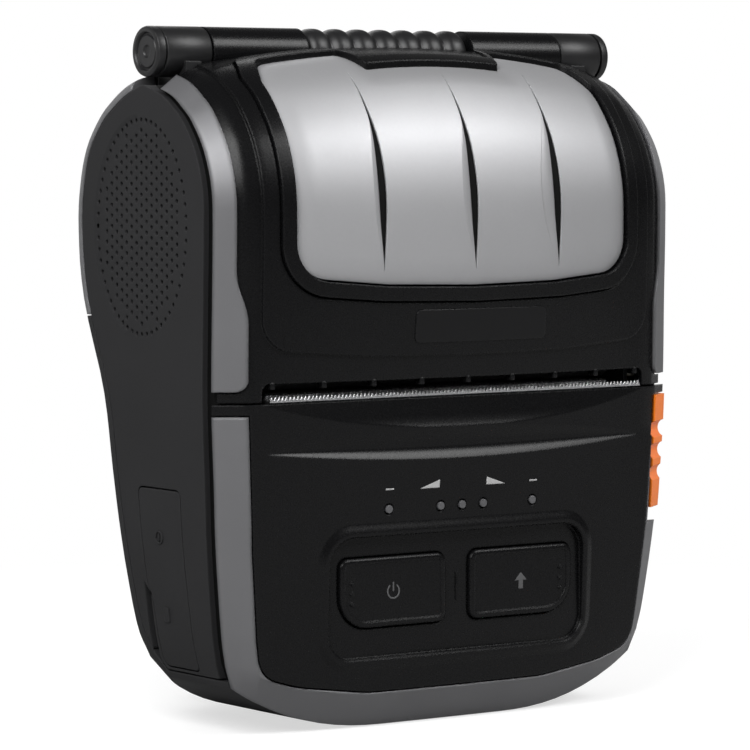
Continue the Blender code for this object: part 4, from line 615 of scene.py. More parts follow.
def side_outline(clearance):
    """The side panel's outline (y, z)."""
    foot_z, edge = 0.0104, 0.0007
    front = [p for p in moved(SIDE_FRONT, GAP + clearance) if p[1] > foot_z]
    rear = [p for p in moved(SIDE_REAR, -edge - clearance) if p[1] > foot_z]
    foot = [
        (depth_at(SIDE_REAR, foot_z) - edge - clearance, foot_z + clearance),
        (depth_at(SIDE_FRONT, foot_z) + GAP + clearance, foot_z + clearance),
    ]
    return foot + front + rear[::-1]


print("Hinge, mm:", [round(1000 * v, 2) for v in HINGE])

# %% [markdown]
# ## Side panels
# Each flank is one charcoal moulding with a groove along its front edge. On the left it carries an
# oval field of pin holes, and a flap over the ports. The holes are real dimples, sunk with one
# joined set of cutters, because painted dots would catch no light on their rims.

# %% Side panels
REACH = 0.60 * HALF_WIDTH
GROOVE_DEPTH, SHADE_LINING = 0.0013, 0.00015
NAIL_NOTCH = [(0.0040, 0.0112), (0.0060, 0.0112), (0.0060, 0.0268), (0.0040, 0.0244)]
LEVER_LOW, LEVER_HIGH, LEVER_DEPTH, LEVER_TRAVEL = 0.0370, 0.0586, 0.0078, 0.0025
LEVER_REAR = depth_at(SIDE_FRONT, (LEVER_LOW + LEVER_HIGH) / 2) + LEVER_DEPTH
POCKET_FLOOR = 0.0415


def flap_outline(clearance):
    points = [
        (-0.0083, 0.0112), (0.0029, 0.0112), (0.0055 - 0.0012 - 0.00087, 0.0238), (0.0055 - 0.00087, 0.0262),
        (0.0055, 0.0440), (-0.0083, 0.0440),
    ]
    return grown(rounded(points, 0.0012, 4), clearance)


def lever_space():
    low = LEVER_LOW - LEVER_TRAVEL - GAP
    return box((STRIP_X - GAP, FAR), (-FAR, LEVER_REAR + GAP), (low, LEVER_HIGH + GAP))


FIELD_CENTRE, FIELD_HALVES, FIELD_DEPTH = (0.0032, 0.0915), (0.0160, 0.0206), 0.0002


def pin_holes(pitch=0.00195, radius=0.00046, depth=0.0009, margin=0.0011):
    """Cutters for the holes in the oval: one even ring of them along its edge, and a lattice within."""
    half_y, half_z = FIELD_HALVES[0] - margin, FIELD_HALVES[1] - margin
    count = round(math.pi * math.sqrt(2 * (half_y**2 + half_z**2)) / pitch)
    turns = [2 * math.pi * k / count for k in range(count)]
    places = [(half_y * math.cos(turn), half_z * math.sin(turn)) for turn in turns]
    reach = int(half_z / pitch) + 2
    for i in range(-reach, reach + 1):
        for j in range(-reach, reach + 1):
            y, z = i * pitch * math.sin(math.pi / 3), (j + (i % 2) / 2) * pitch
            if math.hypot(y / (half_y - 0.8 * pitch), z / (half_z - 0.8 * pitch)) < 1:
                places.append((y, z))
    work = bmesh.new()
    for y, z in places:
        place = Matrix.Translation((-HALF_WIDTH, FIELD_CENTRE[0] + y, FIELD_CENTRE[1] + z)) @ TURNS["X"]
        made = bmesh.ops.create_cone(
            work, cap_ends=True, segments=8, radius1=radius, radius2=radius, depth=2 * depth
        )
        bmesh.ops.transform(work, matrix=place, verts=made["verts"])
    return new_object("pin_holes", work)


def gridded(obj, step=0.0034):
    """The object with its hole field split along a grid, so that no one face gets all the holes."""
    work = bmesh.new()
    work.from_mesh(obj.data)
    for axis, centre, half in ((1, FIELD_CENTRE[0], FIELD_HALVES[0]), (2, FIELD_CENTRE[1], FIELD_HALVES[1])):
        normal = [float(k == axis) for k in range(3)]
        for place in np.arange(centre - half - step / 3, centre + half + step, step):
            bmesh.ops.bisect_plane(
                work, geom=work.verts[:] + work.edges[:] + work.faces[:], dist=0.000001,
                plane_co=[place * n for n in normal], plane_no=normal,
            )
    work.to_mesh(obj.data)
    work.free()
    return obj


def oval_hollow(slope=0.04):
    """A flat oval cutter whose wall leans, so that the hollow's edge is soft."""
    work = bmesh.new()
    bmesh.ops.create_cone(
        work, cap_ends=True, segments=96, radius1=1 + slope, radius2=1 - slope, depth=2 * FIELD_DEPTH
    )
    place = Matrix.Translation((-HALF_WIDTH, *FIELD_CENTRE)) @ Matrix.Diagonal((1, *FIELD_HALVES, 1))
    bmesh.ops.transform(work, matrix=place @ TURNS["X"], verts=work.verts)
    return new_object("oval_hollow", work)


for side, name in ((-1, "side_panel_left"), (1, "side_panel_right")):
    span = (side * REACH, side * FAR)
    panel = common(copy_of(SHELL), prism(side_outline(0.0), "X", *span))
    band = prism(moved(SIDE_FRONT, -0.010) + moved(SIDE_FRONT, GAP + 0.0027)[::-1], "X", *span)
    groove = cut(copy_of(band), body(GROOVE_DEPTH, FINE_LEVELS, CORE_SHARES))
    # Painted shade: a thin near-black sheet lines the groove, so that it reads dark where shade falls.
    shade_lining = cut(
        body(GROOVE_DEPTH - SHADE_LINING, FINE_LEVELS, CORE_SHARES),
        body(GROOVE_DEPTH + SHADE_LINING, FINE_LEVELS, CORE_SHARES)
    )
    shade_lining = common(shade_lining, prism(side_outline(SHADE_LINING), "X", *span), band)
    middle = box((-STRIP_X - GAP / 2, STRIP_X + GAP / 2), EVERY, (PARTING, FAR))
    panel = cut(panel, groove, prism(border_outline(GAP / 2), "Y", -FAR, 0.0), middle)
    if side < 0:
        nail = prism(NAIL_NOTCH, "X", -FAR, -POCKET_FLOOR)
        panel = cut(panel, prism(flap_outline(GAP), "X", -FAR, -POCKET_FLOOR), nail, oval_hollow())
        panel = cut(gridded(panel), pin_holes())
    else:
        panel, shade_lining = cut(panel, lever_space()), cut(shade_lining, lever_space())
    finish_piece(panel, name + "_skin", "housing", "side_black", [name], skin=True)
    shade_lining = cut(
        shade_lining, prism(border_outline(GAP / 2), "Y", -FAR, 0.0),
        box((-STRIP_X, STRIP_X), EVERY, (PARTING, FAR))
    )
    finish_piece(shade_lining, "groove_painted_shade_" + name.split("_")[-1], "housing", "groove_black")
print("Side panels made")

# %% [markdown]
# ## Base: rear casing, bezel and front panel
# The base is three mouldings round one hollow. The charcoal casing wraps the rear and is open where
# the battery slides in, the grey bezel is the band that shows between flank and front, and the black
# front panel fills the band. Cutting all three from the same wall makes their joints meet everywhere.

# %% Rear casing
def front_of_side(low, high):
    """Everything in front of the side panels, as an outline (y, z) between two heights."""
    line = [p for p in SIDE_FRONT if low < p[1] < high]
    ends = [(depth_at(SIDE_FRONT, z), z) for z in (low, high)]
    return [(-FAR, low), ends[0]] + line + [ends[1], (-FAR, high)]


BELOW = -0.010
low_front = SIDE_FRONT[0][0] + GAP
region = [
    (low_front, BELOW), (FAR, BELOW), (FAR, FAR), (BARREL_REAR, FAR), (BARREL_REAR, PARTING), (
        low_front, PARTING
    )
]
casing = common(copy_of(SHELL), prism(region, "X", *EVERY))
for side in (-1, 1):
    casing = cut(casing, prism(side_outline(-GAP), "X", side * REACH, side * FAR))
pack_low, pack_high = (Vector(corner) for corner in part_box("battery_pack"))
catch_low, catch_high = (Vector(corner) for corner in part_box("battery_catch"))
CATCH_Z = (catch_low.z + catch_high.z) / 2
STEM_HALF, STEM_ROOM, CATCH_TRAVEL = 0.0030, 0.0015, 0.0020
bay = box(
    (pack_low.x - GAP, pack_high.x + GAP), (pack_low.y - GAP, FAR), (pack_low.z - GAP, pack_high.z + GAP)
)
slit = box(
    (-STEM_HALF - GAP, STEM_HALF + GAP), (0, FAR), (
        CATCH_Z - STEM_ROOM - GAP, CATCH_Z + STEM_ROOM + CATCH_TRAVEL + GAP
    )
)
casing = cut(casing, bay, slit)
TRIM_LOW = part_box("rear_trim_left")[0][2]
for side, name in ((-1, "rear_trim_left"), (1, "rear_trim_right")):
    corner = box((side * STRIP_X, side * FAR), (HINGE_Y, FAR), (TRIM_LOW, FAR))
    finish_piece(common(copy_of(casing), corner), name + "_skin", "housing", "frame_grey", [name], skin=True)
    casing = cut(casing, box((side * (STRIP_X - GAP), side * FAR), (HINGE_Y, FAR), (TRIM_LOW - GAP, FAR)))
finish_piece(casing, "rear_casing_skin", "housing", "side_black", ["rear_casing"], skin=True)

# %% Lower bezel
BAND_HALF = 0.0020
bezel = common(copy_of(MASTER), prism(front_of_side(BELOW, PARTING - BAND_HALF - GAP), "X", *EVERY))
bezel = cut(bezel, prism(border_outline(GAP / 2), "Y", *EVERY), lever_space())
finish_piece(bezel, "lower_bezel_skin", "housing", "frame_grey", ["lower_bezel"], skin=True)

# %% Front panel
PAD_FACE, PAD_FLOOR = -0.785 * HALF_DEPTH, 0.0022
PAD_HALF, PAD_LOW, PAD_HIGH, PAD_CORNER = 0.0292, 0.0132, 0.0354, 0.0050
LIP_FRONT, LIP_LOW, LIP_THICKNESS, LIP_HALF = -0.826 * HALF_DEPTH, 0.0548, 0.0034, 0.0440
LED_PLACES = [share * HALF_WIDTH for share in (-0.317, -0.094, 0.0, 0.094, 0.317)]
LED_Z, LED_RADIUS = 0.0403, 0.00075
BUTTON_LOW, BUTTON_HIGH, BUTTON_INNER, BUTTON_OUTER, BUTTON_RISE = 0.0187, 0.0315, 0.0028, 0.0266, 0.0008
BUTTON_Z = (BUTTON_LOW + BUTTON_HIGH) / 2


def rectangle(x, z):
    return [(x[0], z[0]), (x[1], z[0]), (x[1], z[1]), (x[0], z[1])]


def button_outline(side, clearance):
    points = [
        (side * BUTTON_INNER, BUTTON_LOW), (side * BUTTON_OUTER, BUTTON_LOW),
        (side * BUTTON_OUTER, BUTTON_HIGH), (side * BUTTON_INNER, BUTTON_HIGH),
    ]
    return grown(rounded(points, [0.0018, 0.0060, 0.0018, 0.0018]), clearance)


def lofted(rows, name, closed=False):
    """A solid through rows of points that each go round one section."""
    work = bmesh.new()
    rings = [[work.verts.new(point) for point in row] for row in rows]
    pairs = list(zip(rings, rings[1:])) + ([(rings[-1], rings[0])] if closed else [])
    for low, high in pairs:
        for i in range(len(low)):
            j = (i + 1) % len(low)
            work.faces.new((low[i], low[j], high[j], high[i]))
    if not closed:
        work.faces.new(rings[0])
        work.faces.new(rings[-1][::-1])
    bmesh.ops.triangulate(work, faces=work.faces[:])
    return new_object(name, work)


def pad_bead(outline, width=0.0030, height=0.0008, sunk=0.0012, steps=10):
    """A ring that swells softly out of the skin towards an outline (x, z), cut off by the pad's wall."""
    dense = []
    for (x0, z0), (x1, z1) in zip(outline, np.roll(outline, -1, axis=0)):
        pieces = max(1, round(math.hypot(x1 - x0, z1 - z0) / 0.0025))
        dense += [(x0 + (x1 - x0) * k / pieces, z0 + (z1 - z0) * k / pieces) for k in range(pieces)]
    profile = [(-0.0006, -0.3)] + [
        (width * k / steps, math.cos(math.pi / 2 * k / steps) ** 1.6) for k in range(steps + 1)
    ]
    profile[1:2] = [(0.0, 0.62), (0.00025, 0.90)]
    profile += [(width + 0.0004, -0.12)]
    lines = [grown(dense, across) for across, _ in profile]
    rows = []
    for i in range(len(dense)):
        row = []
        for line, (_, swell) in zip(lines, profile):
            x, z = line[i]
            row.append((x, skin_depth(x, z) - height * swell, z))
        ends = [(x, skin_depth(x, z) + sunk, z) for x, z in (lines[-1][i], lines[0][i])]
        rows.append(row + ends)
    return lofted(rows, "pad_bead", closed=True)


def brow(half=0.0425, low=0.0490, rise=0.0023, height=0.0022, depth=0.0013, steps=60):
    """A cutter for the soft crease below the lip: it starts at a point, widens and ends at a point."""
    rows = []
    for k in range(steps + 1):
        share = -1 + 2 * k / steps
        x, line = half * share, low + rise * share**2
        swell = max(0.02, 1 - share**2) ** 0.8
        row = []
        for up, sink in (
            (0.0, -0.05), (0.3, 0.35), (0.7, 0.75), (1.0, 0.96), (1.25, 1.0), (1.6, 0.85), (2.1, 0.45),
            (2.6, 0.15), (3.0, -0.05)
        ):
            z = line + up * height * swell
            row.append((x, skin_depth(x, z) + sink * depth * swell, z))
        rows.append(row + [(x, -FAR, row[-1][2]), (x, -FAR, row[0][2])])
    return lofted(rows, "brow")


panel = common(copy_of(SHELL), prism(border_outline(-GAP / 2), "Y", -FAR, SIDE_FRONT[0][0]))
lip = box((-LIP_HALF, LIP_HALF), (-FAR, LIP_FRONT + LIP_THICKNESS), (LIP_LOW - LIP_THICKNESS, FAR))
backing = box((-PAD_HALF, PAD_HALF), (-FAR, PAD_FACE + PAD_FLOOR), (PAD_LOW, PAD_HIGH))
panel = join(panel, common(copy_of(MASTER), lip), common(copy_of(MASTER), backing))
for side in (-1, 1):
    end = prism(front_of_side(PARTING - BAND_HALF, PARTING), "X", side * (STRIP_X - WALL / 2), side * FAR)
    panel = join(panel, cut(common(copy_of(MASTER), end), lever_space()))
mid_front = np.interp(LIP_LOW, FINE_LEVELS[:, 5], FINE_LEVELS[:, 4])
run = (LIP_FRONT - mid_front) / (PARTING - LIP_LOW)
bevel = prism(
    [
        (mid_front - run * 0.01, LIP_LOW - 0.01), (LIP_FRONT + run * 0.01, PARTING + 0.01),
        (-FAR, PARTING + 0.01), (-FAR, LIP_LOW - 0.01),
    ],
    "X", *EVERY,
)
pad_outline = rounded(rectangle((-PAD_HALF, PAD_HALF), (PAD_LOW, PAD_HIGH)), PAD_CORNER, 12)
panel = cut(panel, box(EVERY, EVERY, (LOW_EDGE, 2 * FAR)), bevel)
panel = join(panel, pad_bead(pad_outline))
panel = cut(panel, prism(pad_outline, "Y", -FAR, PAD_FACE), brow())
for side in (-1, 1):
    panel = cut(panel, prism(button_outline(side, GAP), "Y", *EVERY))
for x in LED_PLACES:
    panel = cut(panel, cylinder(LED_RADIUS + GAP, -FAR, 0.0, (x, LED_Z), "Y", 24))
finish_piece(panel, "front_panel_skin", "housing", "front_black", ["front_panel"], skin=True)
print("Base made")

# %% [markdown]
# ## Keys, lamps and printed marks
# The two keys are hard plastic caps in a sunk pad, each with a rounded rim, three raised dots for the
# fingertip and a small glyph. The five indicator lamps are the ends of one clear light guide. Marks
# are a print a few hundredths of a millimetre thick, so each is a sliver of a slightly larger body.

# %% Keys
def rounded_plate(outline, start, end, radius, segments=4):
    """A plate between two depths whose front rim is rounded."""
    plate = prism(outline, "Y", start, end)
    work = bmesh.new()
    work.from_mesh(plate.data)
    bmesh.ops.dissolve_limit(work, angle_limit=math.radians(0.2), verts=work.verts, edges=work.edges)
    rim = [e for e in work.edges if all(abs(v.co.y - start) < 0.00001 for v in e.verts)]
    bmesh.ops.bevel(work, geom=rim, offset=radius, segments=segments, profile=0.5, affect="EDGES")
    work.to_mesh(plate.data)
    work.free()
    return plate


DOT_RADIUS, DOT_PITCH, DOT_INSET = 0.00035, 0.0019, 0.0026
KEY_TOP = PAD_FACE - BUTTON_RISE
for side, name, body_name in ((-1, "power_button", "power_key"), (1, "feed_button", "feed_key")):
    outline = button_outline(side, 0.0)
    key = rounded_plate(outline, KEY_TOP, PAD_FACE + PAD_FLOOR, 0.0005)
    dish = rounded_plate(button_outline(side, -0.0011), KEY_TOP - 0.001, KEY_TOP + 0.00018, 0.0001)
    key = cut(key, dish)
    for k in (-1, 0, 1):
        centre = (side * (BUTTON_OUTER - DOT_INSET), BUTTON_Z + k * DOT_PITCH)
        key = join(key, cylinder(DOT_RADIUS, KEY_TOP - 0.0002, PAD_FACE, centre, "Y", 16, DOT_RADIUS * 0.99))
    finish_piece(key, name + "_cap", body_name, "front_black", [name], sharp=40)

# %% Lamps
for number, x in enumerate(LED_PLACES, 1):
    ring = body_ring(FINE_LEVELS, abs(x) / HALF_WIDTH)[: len(FINE_LEVELS)]
    front = float(np.interp(LED_Z, ring[:, 1], ring[:, 0]))
    work = bmesh.new()
    bmesh.ops.create_uvsphere(work, u_segments=24, v_segments=12, radius=LED_RADIUS)
    bmesh.ops.transform(
        work, matrix=Matrix.Translation((x, front + 0.0001, LED_Z)) @ Matrix.Diagonal((1, 0.4, 1, 1)),
        verts=work.verts
    )
    finish_piece(new_object("lens", work), "led_lens_%d" % number, "housing", "lens_grey", sharp=80)

# %% Printed marks
INK, PLATE_RISE = 0.00006, 0.00018


def layer(rise):
    """A thin skin over the whole body."""
    return cut(body(-rise), body(0.0002))


def printed(name, body_name, slot_name, skin, *outlines):
    """Flat outlines (x, z) laid on the front of the body as a thin print."""
    marks = join(*[prism(outline, "Y", -FAR, -0.012) for outline in outlines])
    return finish_piece(common(marks, copy_of(skin)), name, body_name, slot_name)


ink = layer(INK)
wedge = [(-0.0098, 0.0437), (-0.0054, 0.0437), (-0.0054, 0.0452)]
bars = [rectangle((x - 0.0009, x + 0.0009), (0.0438, 0.0441)) for x in (LED_PLACES[0], LED_PLACES[-1])]
printed("charge_wedges", "housing", "mark_ink", ink, wedge, [(-x, z) for x, z in wedge[::-1]], *bars)
drop(ink)
print("Keys, lamps and marks made")

# %% [markdown]
# ## Tear bar
# The receipt is torn against a thin blade of stamped steel whose front edge is turned up into fine
# teeth. The teeth are what the eye finds, so they are cut one by one in an outline and made thick.

# %% Tear bar
TOOTH_PITCH, TOOTH_RISE, BLADE_SHEET = 0.00082, 0.00075, 0.00030
blade_low, blade_high = (Vector(corner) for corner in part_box("tear_bar"))
half = (blade_high.x - blade_low.x) / 2
teeth = round(2 * half / TOOTH_PITCH)
root = blade_low.z + BLADE_SHEET
points = [(-half + half * k / teeth, root + (0, TOOTH_RISE)[k % 2]) for k in range(2 * teeth + 1)]
comb = prism(
    [(-half, blade_low.z)] + points + [(half, blade_low.z)], "Y", blade_low.y, blade_low.y + BLADE_SHEET
)
plate = box((-half, half), (blade_low.y + BLADE_SHEET / 2, blade_high.y), (blade_low.z, root))
finish_piece(join(comb, plate), "tear_bar_skin", "housing", "steel", ["tear_bar"])
print("Teeth:", teeth)

# %% Key glyphs
def ring_outline(centre, radius, start, end, steps=24, width=0.0003):
    """An arc with a width, as an outline, between two angles in degrees."""
    angles = [math.radians(start + (end - start) * k / steps) for k in range(steps + 1)]
    outer, inner = (
        [(centre[0] + r * math.cos(a), centre[1] + r * math.sin(a)) for a in angles]
        for r in (radius + width / 2, radius - width / 2)
    )
    return outer + inner[::-1]


GLYPH_DEPTH = (KEY_TOP + 0.00012, KEY_TOP + 0.0003)
key_x = (BUTTON_INNER + BUTTON_OUTER) / 2
power = join(
    prism(ring_outline((-key_x, BUTTON_Z), 0.0013, 125, 415), "Y", *GLYPH_DEPTH),
    prism(rectangle((-key_x - 0.00015, -key_x + 0.00015), (BUTTON_Z, BUTTON_Z + 0.0017)), "Y", *GLYPH_DEPTH),
)
finish_piece(power, "power_glyph", "power_key", "key_ink")
arrow = [
    (key_x - 0.0014, BUTTON_Z + 0.0001), (key_x, BUTTON_Z + 0.0016), (key_x + 0.0014, BUTTON_Z + 0.0001),
    (key_x + 0.0005, BUTTON_Z + 0.0001), (key_x + 0.0005, BUTTON_Z - 0.0015), (
        key_x - 0.0005, BUTTON_Z - 0.0015
    ),
    (key_x - 0.0005, BUTTON_Z + 0.0001),
]
finish_piece(prism(arrow, "Y", *GLYPH_DEPTH), "feed_glyph", "feed_key", "key_ink")
rib = box(
    (-0.00016, 0.00016), (PAD_FACE - 0.00022, PAD_FACE + 0.0002), (BUTTON_Z - 0.0027, BUTTON_Z + 0.0027),
    0.00008, 2
)
finish_piece(rib, "pad_rib", "housing", "front_black")

# %% [markdown]
# ## Cover: frames, shell, window and rim
# The lid swings on the hinge at the top. Two grey frames flank a black shell, whose raised field
# carries the silvered window in a black rim. Three crescent creases are pressed into the window:
# each is a groove with one steep and one gentle wall, so it shows as a dark line beside a light one,
# and a near-black sheet of painted shade lies in the steep part of each.

# %% Cover frames
def frame_line(clearance):
    """The line between the cover's black front and its grey frames, with its waist, seen from the front."""
    wide, band = STRIP_X + 0.0018, PARTING + BAND_HALF
    half = [(wide, FAR), (wide, 0.0823), (STRIP_X, 0.0765), (STRIP_X, band), (FAR, band), (FAR, BELOW)]
    radii = [0, 0.0160, 0.0160, 0.0022, 0, 0]
    return grown(rounded(half + [(-x, z) for x, z in half[::-1]], radii + radii[::-1]), clearance)


def cover_corner(side):
    """The solid corner of the cover in front of one flank, before frame and shell share it out."""
    line = [p for p in SIDE_FRONT if p[1] > HIGH_EDGE and p[0] < BARREL_FRONT]
    arch = np.array(SIDE_FRONT[len(SIDE_FRONT) // 2 :])
    top = float(np.interp(BARREL_FRONT, arch[:, 0], arch[:, 1]))
    outline = [(-FAR, HIGH_EDGE), (depth_at(SIDE_FRONT, HIGH_EDGE), HIGH_EDGE)] + line
    outline += [(BARREL_FRONT, top), (BARREL_FRONT, FAR), (-FAR, FAR)]
    return common(copy_of(MASTER), prism(outline, "X", side * (STRIP_X - WALL / 2), side * FAR))


for side, name in ((-1, "cover_frame_left"), (1, "cover_frame_right")):
    trim = cut(cover_corner(side), prism(frame_line(GAP / 2), "Y", *EVERY))
    finish_piece(trim, name + "_skin", "cover", "frame_grey", [name], skin=True)

# %% Cover shell
STEP = 0.0005
WINDOW_HALF, WINDOW_LOW, WINDOW_SIDE_LOW, WINDOW_TOP = 0.0380, 0.0806, 0.0826, -0.0083
TAB_HALF, TAB_TOP, TAB_SLOPE, WINDOW_CORNER, TOP_CORNER = 0.0172, -0.0157, 0.0020, 0.0070, 0.0030
FIELD_HALF, FIELD_LOW, FIELD_SIDE_LOW, FIELD_CORNER = 0.0440, 0.0682, 0.0700, 0.0060
RIM_WIDTH, RIM_RISE, DIP = 0.0026, 0.0005, 0.0006
SLOT_HALF, SLOT_TOP, SLOT_CORNER = 0.0437, 0.0640, 0.0015
KNUCKLE_START, KNUCKLE_END = 0.0188 + GAP, HALF_WIDTH - 0.0016 - GAP - 0.0098 - GAP
PLATEN = (-0.0146, 0.0672)


def window_space(clearance):
    """The space of the window in the cover, grown by a clearance: its front view and plan together."""
    side = WINDOW_HALF + clearance
    low = [
        (side, FAR), (side, WINDOW_SIDE_LOW - clearance),
        (side / 2, (WINDOW_LOW + WINDOW_SIDE_LOW) / 2 - DIP - clearance), (0, WINDOW_LOW - clearance),
    ]
    radii = [0, WINDOW_CORNER + clearance, 0.060, 0.090]
    front = rounded(low + [(-x, z) for x, z in low[-2::-1]], radii + radii[-2::-1], 10)
    top, tab = WINDOW_TOP + clearance, TAB_TOP + clearance
    plan = [
        (side, -FAR), (side, top - WINDOW_CORNER), (side - TOP_CORNER, top), (TAB_HALF, top),
        (TAB_HALF - TAB_SLOPE, tab)
    ]
    radii = [0, TOP_CORNER, TOP_CORNER, 0.0006, 0.0006]
    plan = rounded(plan + [(-x, y) for x, y in plan[::-1]], radii + radii[::-1], 6)
    return common(prism(front, "Y", -FAR, 0.0), prism(plan, "Z", 0.0, FAR))


half = [
    (FIELD_HALF, FAR), (FIELD_HALF, FIELD_SIDE_LOW),
    (FIELD_HALF / 2, (FIELD_LOW + FIELD_SIDE_LOW) / 2 - DIP), (
        0, FIELD_LOW
    )
]
radii = [0, FIELD_CORNER, 0.060, 0.090]
field = rounded(half + [(-x, z) for x, z in half[-2::-1]], radii + radii[-2::-1], 10)
region = [
    (-FAR, HIGH_EDGE), (PLATEN[0], HIGH_EDGE), (PLATEN[0], HINGE_Z - 0.0038 - 0.0070),
    (BARREL_FRONT, HINGE_Z - BARREL), (BARREL_FRONT, FAR), (-FAR, FAR),
]
cover = common(copy_of(SHELL), prism(region, "X", -STRIP_X + GAP / 2, STRIP_X - GAP / 2))
for side in (-1, 1):
    cover = join(cover, common(cover_corner(side), prism(frame_line(-GAP / 2), "Y", *EVERY)))
lowered = cut(box(EVERY, (-FAR, HINGE_Y), (0, FAR)), prism(field, "Y", *EVERY), body(STEP))
slot = rounded(rectangle((-SLOT_HALF, SLOT_HALF), (PARTING - 0.01, SLOT_TOP)), SLOT_CORNER)
cover = cut(cover, lowered, window_space(RIM_WIDTH + GAP), prism(slot, "Y", *EVERY))
for side in (-1, 1):
    knuckle = cylinder(BARREL, side * KNUCKLE_START, side * KNUCKLE_END, HINGE, "X", 64)
    web = box(
        (side * (KNUCKLE_START + GAP), side * (KNUCKLE_END - GAP)), (BARREL_FRONT - 0.0018, HINGE_Y),
        (HINGE_Z - 0.0038, HINGE_Z + GAP),
    )
    cover = join(cover, knuckle, common(web, body(STEP + GAP)))
cover = cut(
    cover, cylinder(0.0015, -HALF_WIDTH, HALF_WIDTH, HINGE, "X", 24),
    cylinder(0.0067, 0.0437, 0.0465, PLATEN, "X", 48)
)
finish_piece(cover, "cover_shell_skin", "cover", "front_black", ["cover_shell"], skin=True)

# %% Window and rim
CREASE_LOW, CREASE_HIGH, SHADE_SHEET_DEPTH = 0.0838, 0.1195, 0.00035


def crescent(x, start=0.0, end=0.0032, slope=True, steps=48):
    """One crease between two depths: a wedge for the near-black sheet of painted shade, and for the cutter a soft
    hollow on its left too.
    """
    rows = []
    for i in range(steps + 1):
        share = i / steps
        z = CREASE_LOW + (CREASE_HIGH - CREASE_LOW) * share
        y = skin_depth(x, z)
        inward = Vector((0, GAP, y - skin_depth(x, z + GAP))).normalized()
        half = 0.00004 + 0.00058 * max(0.0, math.sin(math.pi * share**0.8)) ** 1.3
        low_swell = max(0.0, math.sin(math.pi * min(1.0, share / 0.80)))
        places = [(-half, end), (-half, start)]
        if slope:
            places = [(-half, end)] + [
                (-half - 0.0036 * low_swell * (1 - s), 0.00070 * low_swell * s**2 - 0.00002) for s in (
                    1.0, 0.8, 0.6, 0.4, 0.2, 0.0
                )
            ] + [(-half - 0.0036 * low_swell, -0.0012), (half, -0.0012)]
        else:
            places += [(half, start)]
        places += [(half, end)]
        rows.append([Vector((x + across, y, z)) + inward * deep for across, deep in places])
    return lofted(rows, "crescent")


def pillowed(obj, space, width=0.0045, drop_mm=0.6):
    """Rounds a pane's border down towards the walls of its space, in its points and its shading."""
    walls = BVHTree.FromObject(space, bpy.context.evaluated_depsgraph_get())
    mesh = obj.data
    normals = [corner.vector.copy() for corner in mesh.corner_normals]
    moves = {}
    for corner, point, normal in on_skin(mesh, 0.00006):
        wall, _, _, distance = walls.find_nearest(point)
        share = max(0.0, 1 - distance / width)
        away = point - wall
        away -= normal * away.dot(normal)
        if share and away.length > 0:
            normals[corner] = (normal - away.normalized() * (2 * drop_mm * MM / width * share)).normalized()
        moves[mesh.loops[corner].vertex_index] = normal * (drop_mm * MM * share**2)
    for vertex, move in moves.items():
        mesh.vertices[vertex].co -= move
    mesh.normals_split_custom_set(normals)
    drop(space)


pane = common(copy_of(SHELL), window_space(-GAP))
work = bmesh.new()
work.from_mesh(pane.data)
for _ in range(2):
    long_edges = [e for e in work.edges if e.calc_length() > 0.0016]
    bmesh.ops.subdivide_edges(work, edges=long_edges, cuts=1, use_grid_fill=False)
    bmesh.ops.triangulate(work, faces=[f for f in work.faces if len(f.verts) > 3])
work.to_mesh(pane.data)
work.free()
for k in (-1, 0, 1):
    x = 0.0200 * k
    pane = cut(pane, crescent(x))
    # Painted shade: a near-black sheet sits in each crease's deep part, where there is only shade.
    finish_piece(
        crescent(x, SHADE_SHEET_DEPTH, 0.0025, slope=False), "crease_painted_shade_%d" % (k + 2), "cover", "groove_black"
    )
finish_piece(pane, "window_panel_skin", "cover", "window_silver", ["window_panel"], skin=True, near=0.00006)
pillowed(pane, window_space(-GAP))
rim = common(cut(body(-RIM_RISE), copy_of(INNER)), window_space(RIM_WIDTH))
finish_piece(
    cut(rim, window_space(0.0)), "window_rim_skin", "cover", "front_black", ["window_rim"], skin=True
)

# %% Bare plate and exit ribs
plate_skin = layer(PLATE_RISE)
plate = rounded(rectangle((-0.0130, 0.0170), (0.0706, 0.0766)), 0.0010, 6)
printed("bare_plate", "cover", "plate_black", plate_skin, plate)
drop(plate_skin)
for k in range(-4, 5):
    x = 0.0104 * k
    ring = body_ring(FINE_LEVELS, abs(x) / HALF_WIDTH)[: len(FINE_LEVELS)]
    front = float(np.interp(SLOT_TOP, ring[:, 1], ring[:, 0]))
    rib = box(
        (x - 0.0005, x + 0.0005), (front + 0.0004, front + WALL - 0.0002),
        (SLOT_TOP - 0.0011, SLOT_TOP + 0.0003), 0.00025, 3
    )
    finish_piece(rib, "exit_rib_%d" % (k + 5), "cover", "front_black")
print("Cover made")

# %% [markdown]
# ## Hinge
# The lid turns on one steel pin through a row of barrels: an end barrel with a dished cap on each
# side, the lid's own knuckles, and a ribbed barrel in the middle. All are turned forms, so each is a
# profile spun about the pin by the Screw modifier.

# %% Hinge barrels and caps
def turned(profile, centre, steps=64):
    """A profile of (place along X, radius) turned about a line along X."""
    mesh = bpy.data.meshes.new("turned")
    mesh.from_pydata([(r, 0, a) for a, r in profile], [(i, i + 1) for i in range(len(profile) - 1)], [])
    obj = bpy.data.objects.new("turned", mesh)
    bpy.context.scene.collection.objects.link(obj)
    screw = obj.modifiers.new("screw", "SCREW")
    screw.steps = screw.render_steps = steps
    screw.use_merge_vertices, screw.merge_threshold = True, 0.000002
    spun = settled(obj)
    work = bmesh.new()
    work.from_mesh(spun.data)
    drop(spun)
    bmesh.ops.transform(work, matrix=Matrix.Translation((0, *centre)) @ TURNS["X"], verts=work.verts)
    return new_object("turned", work)


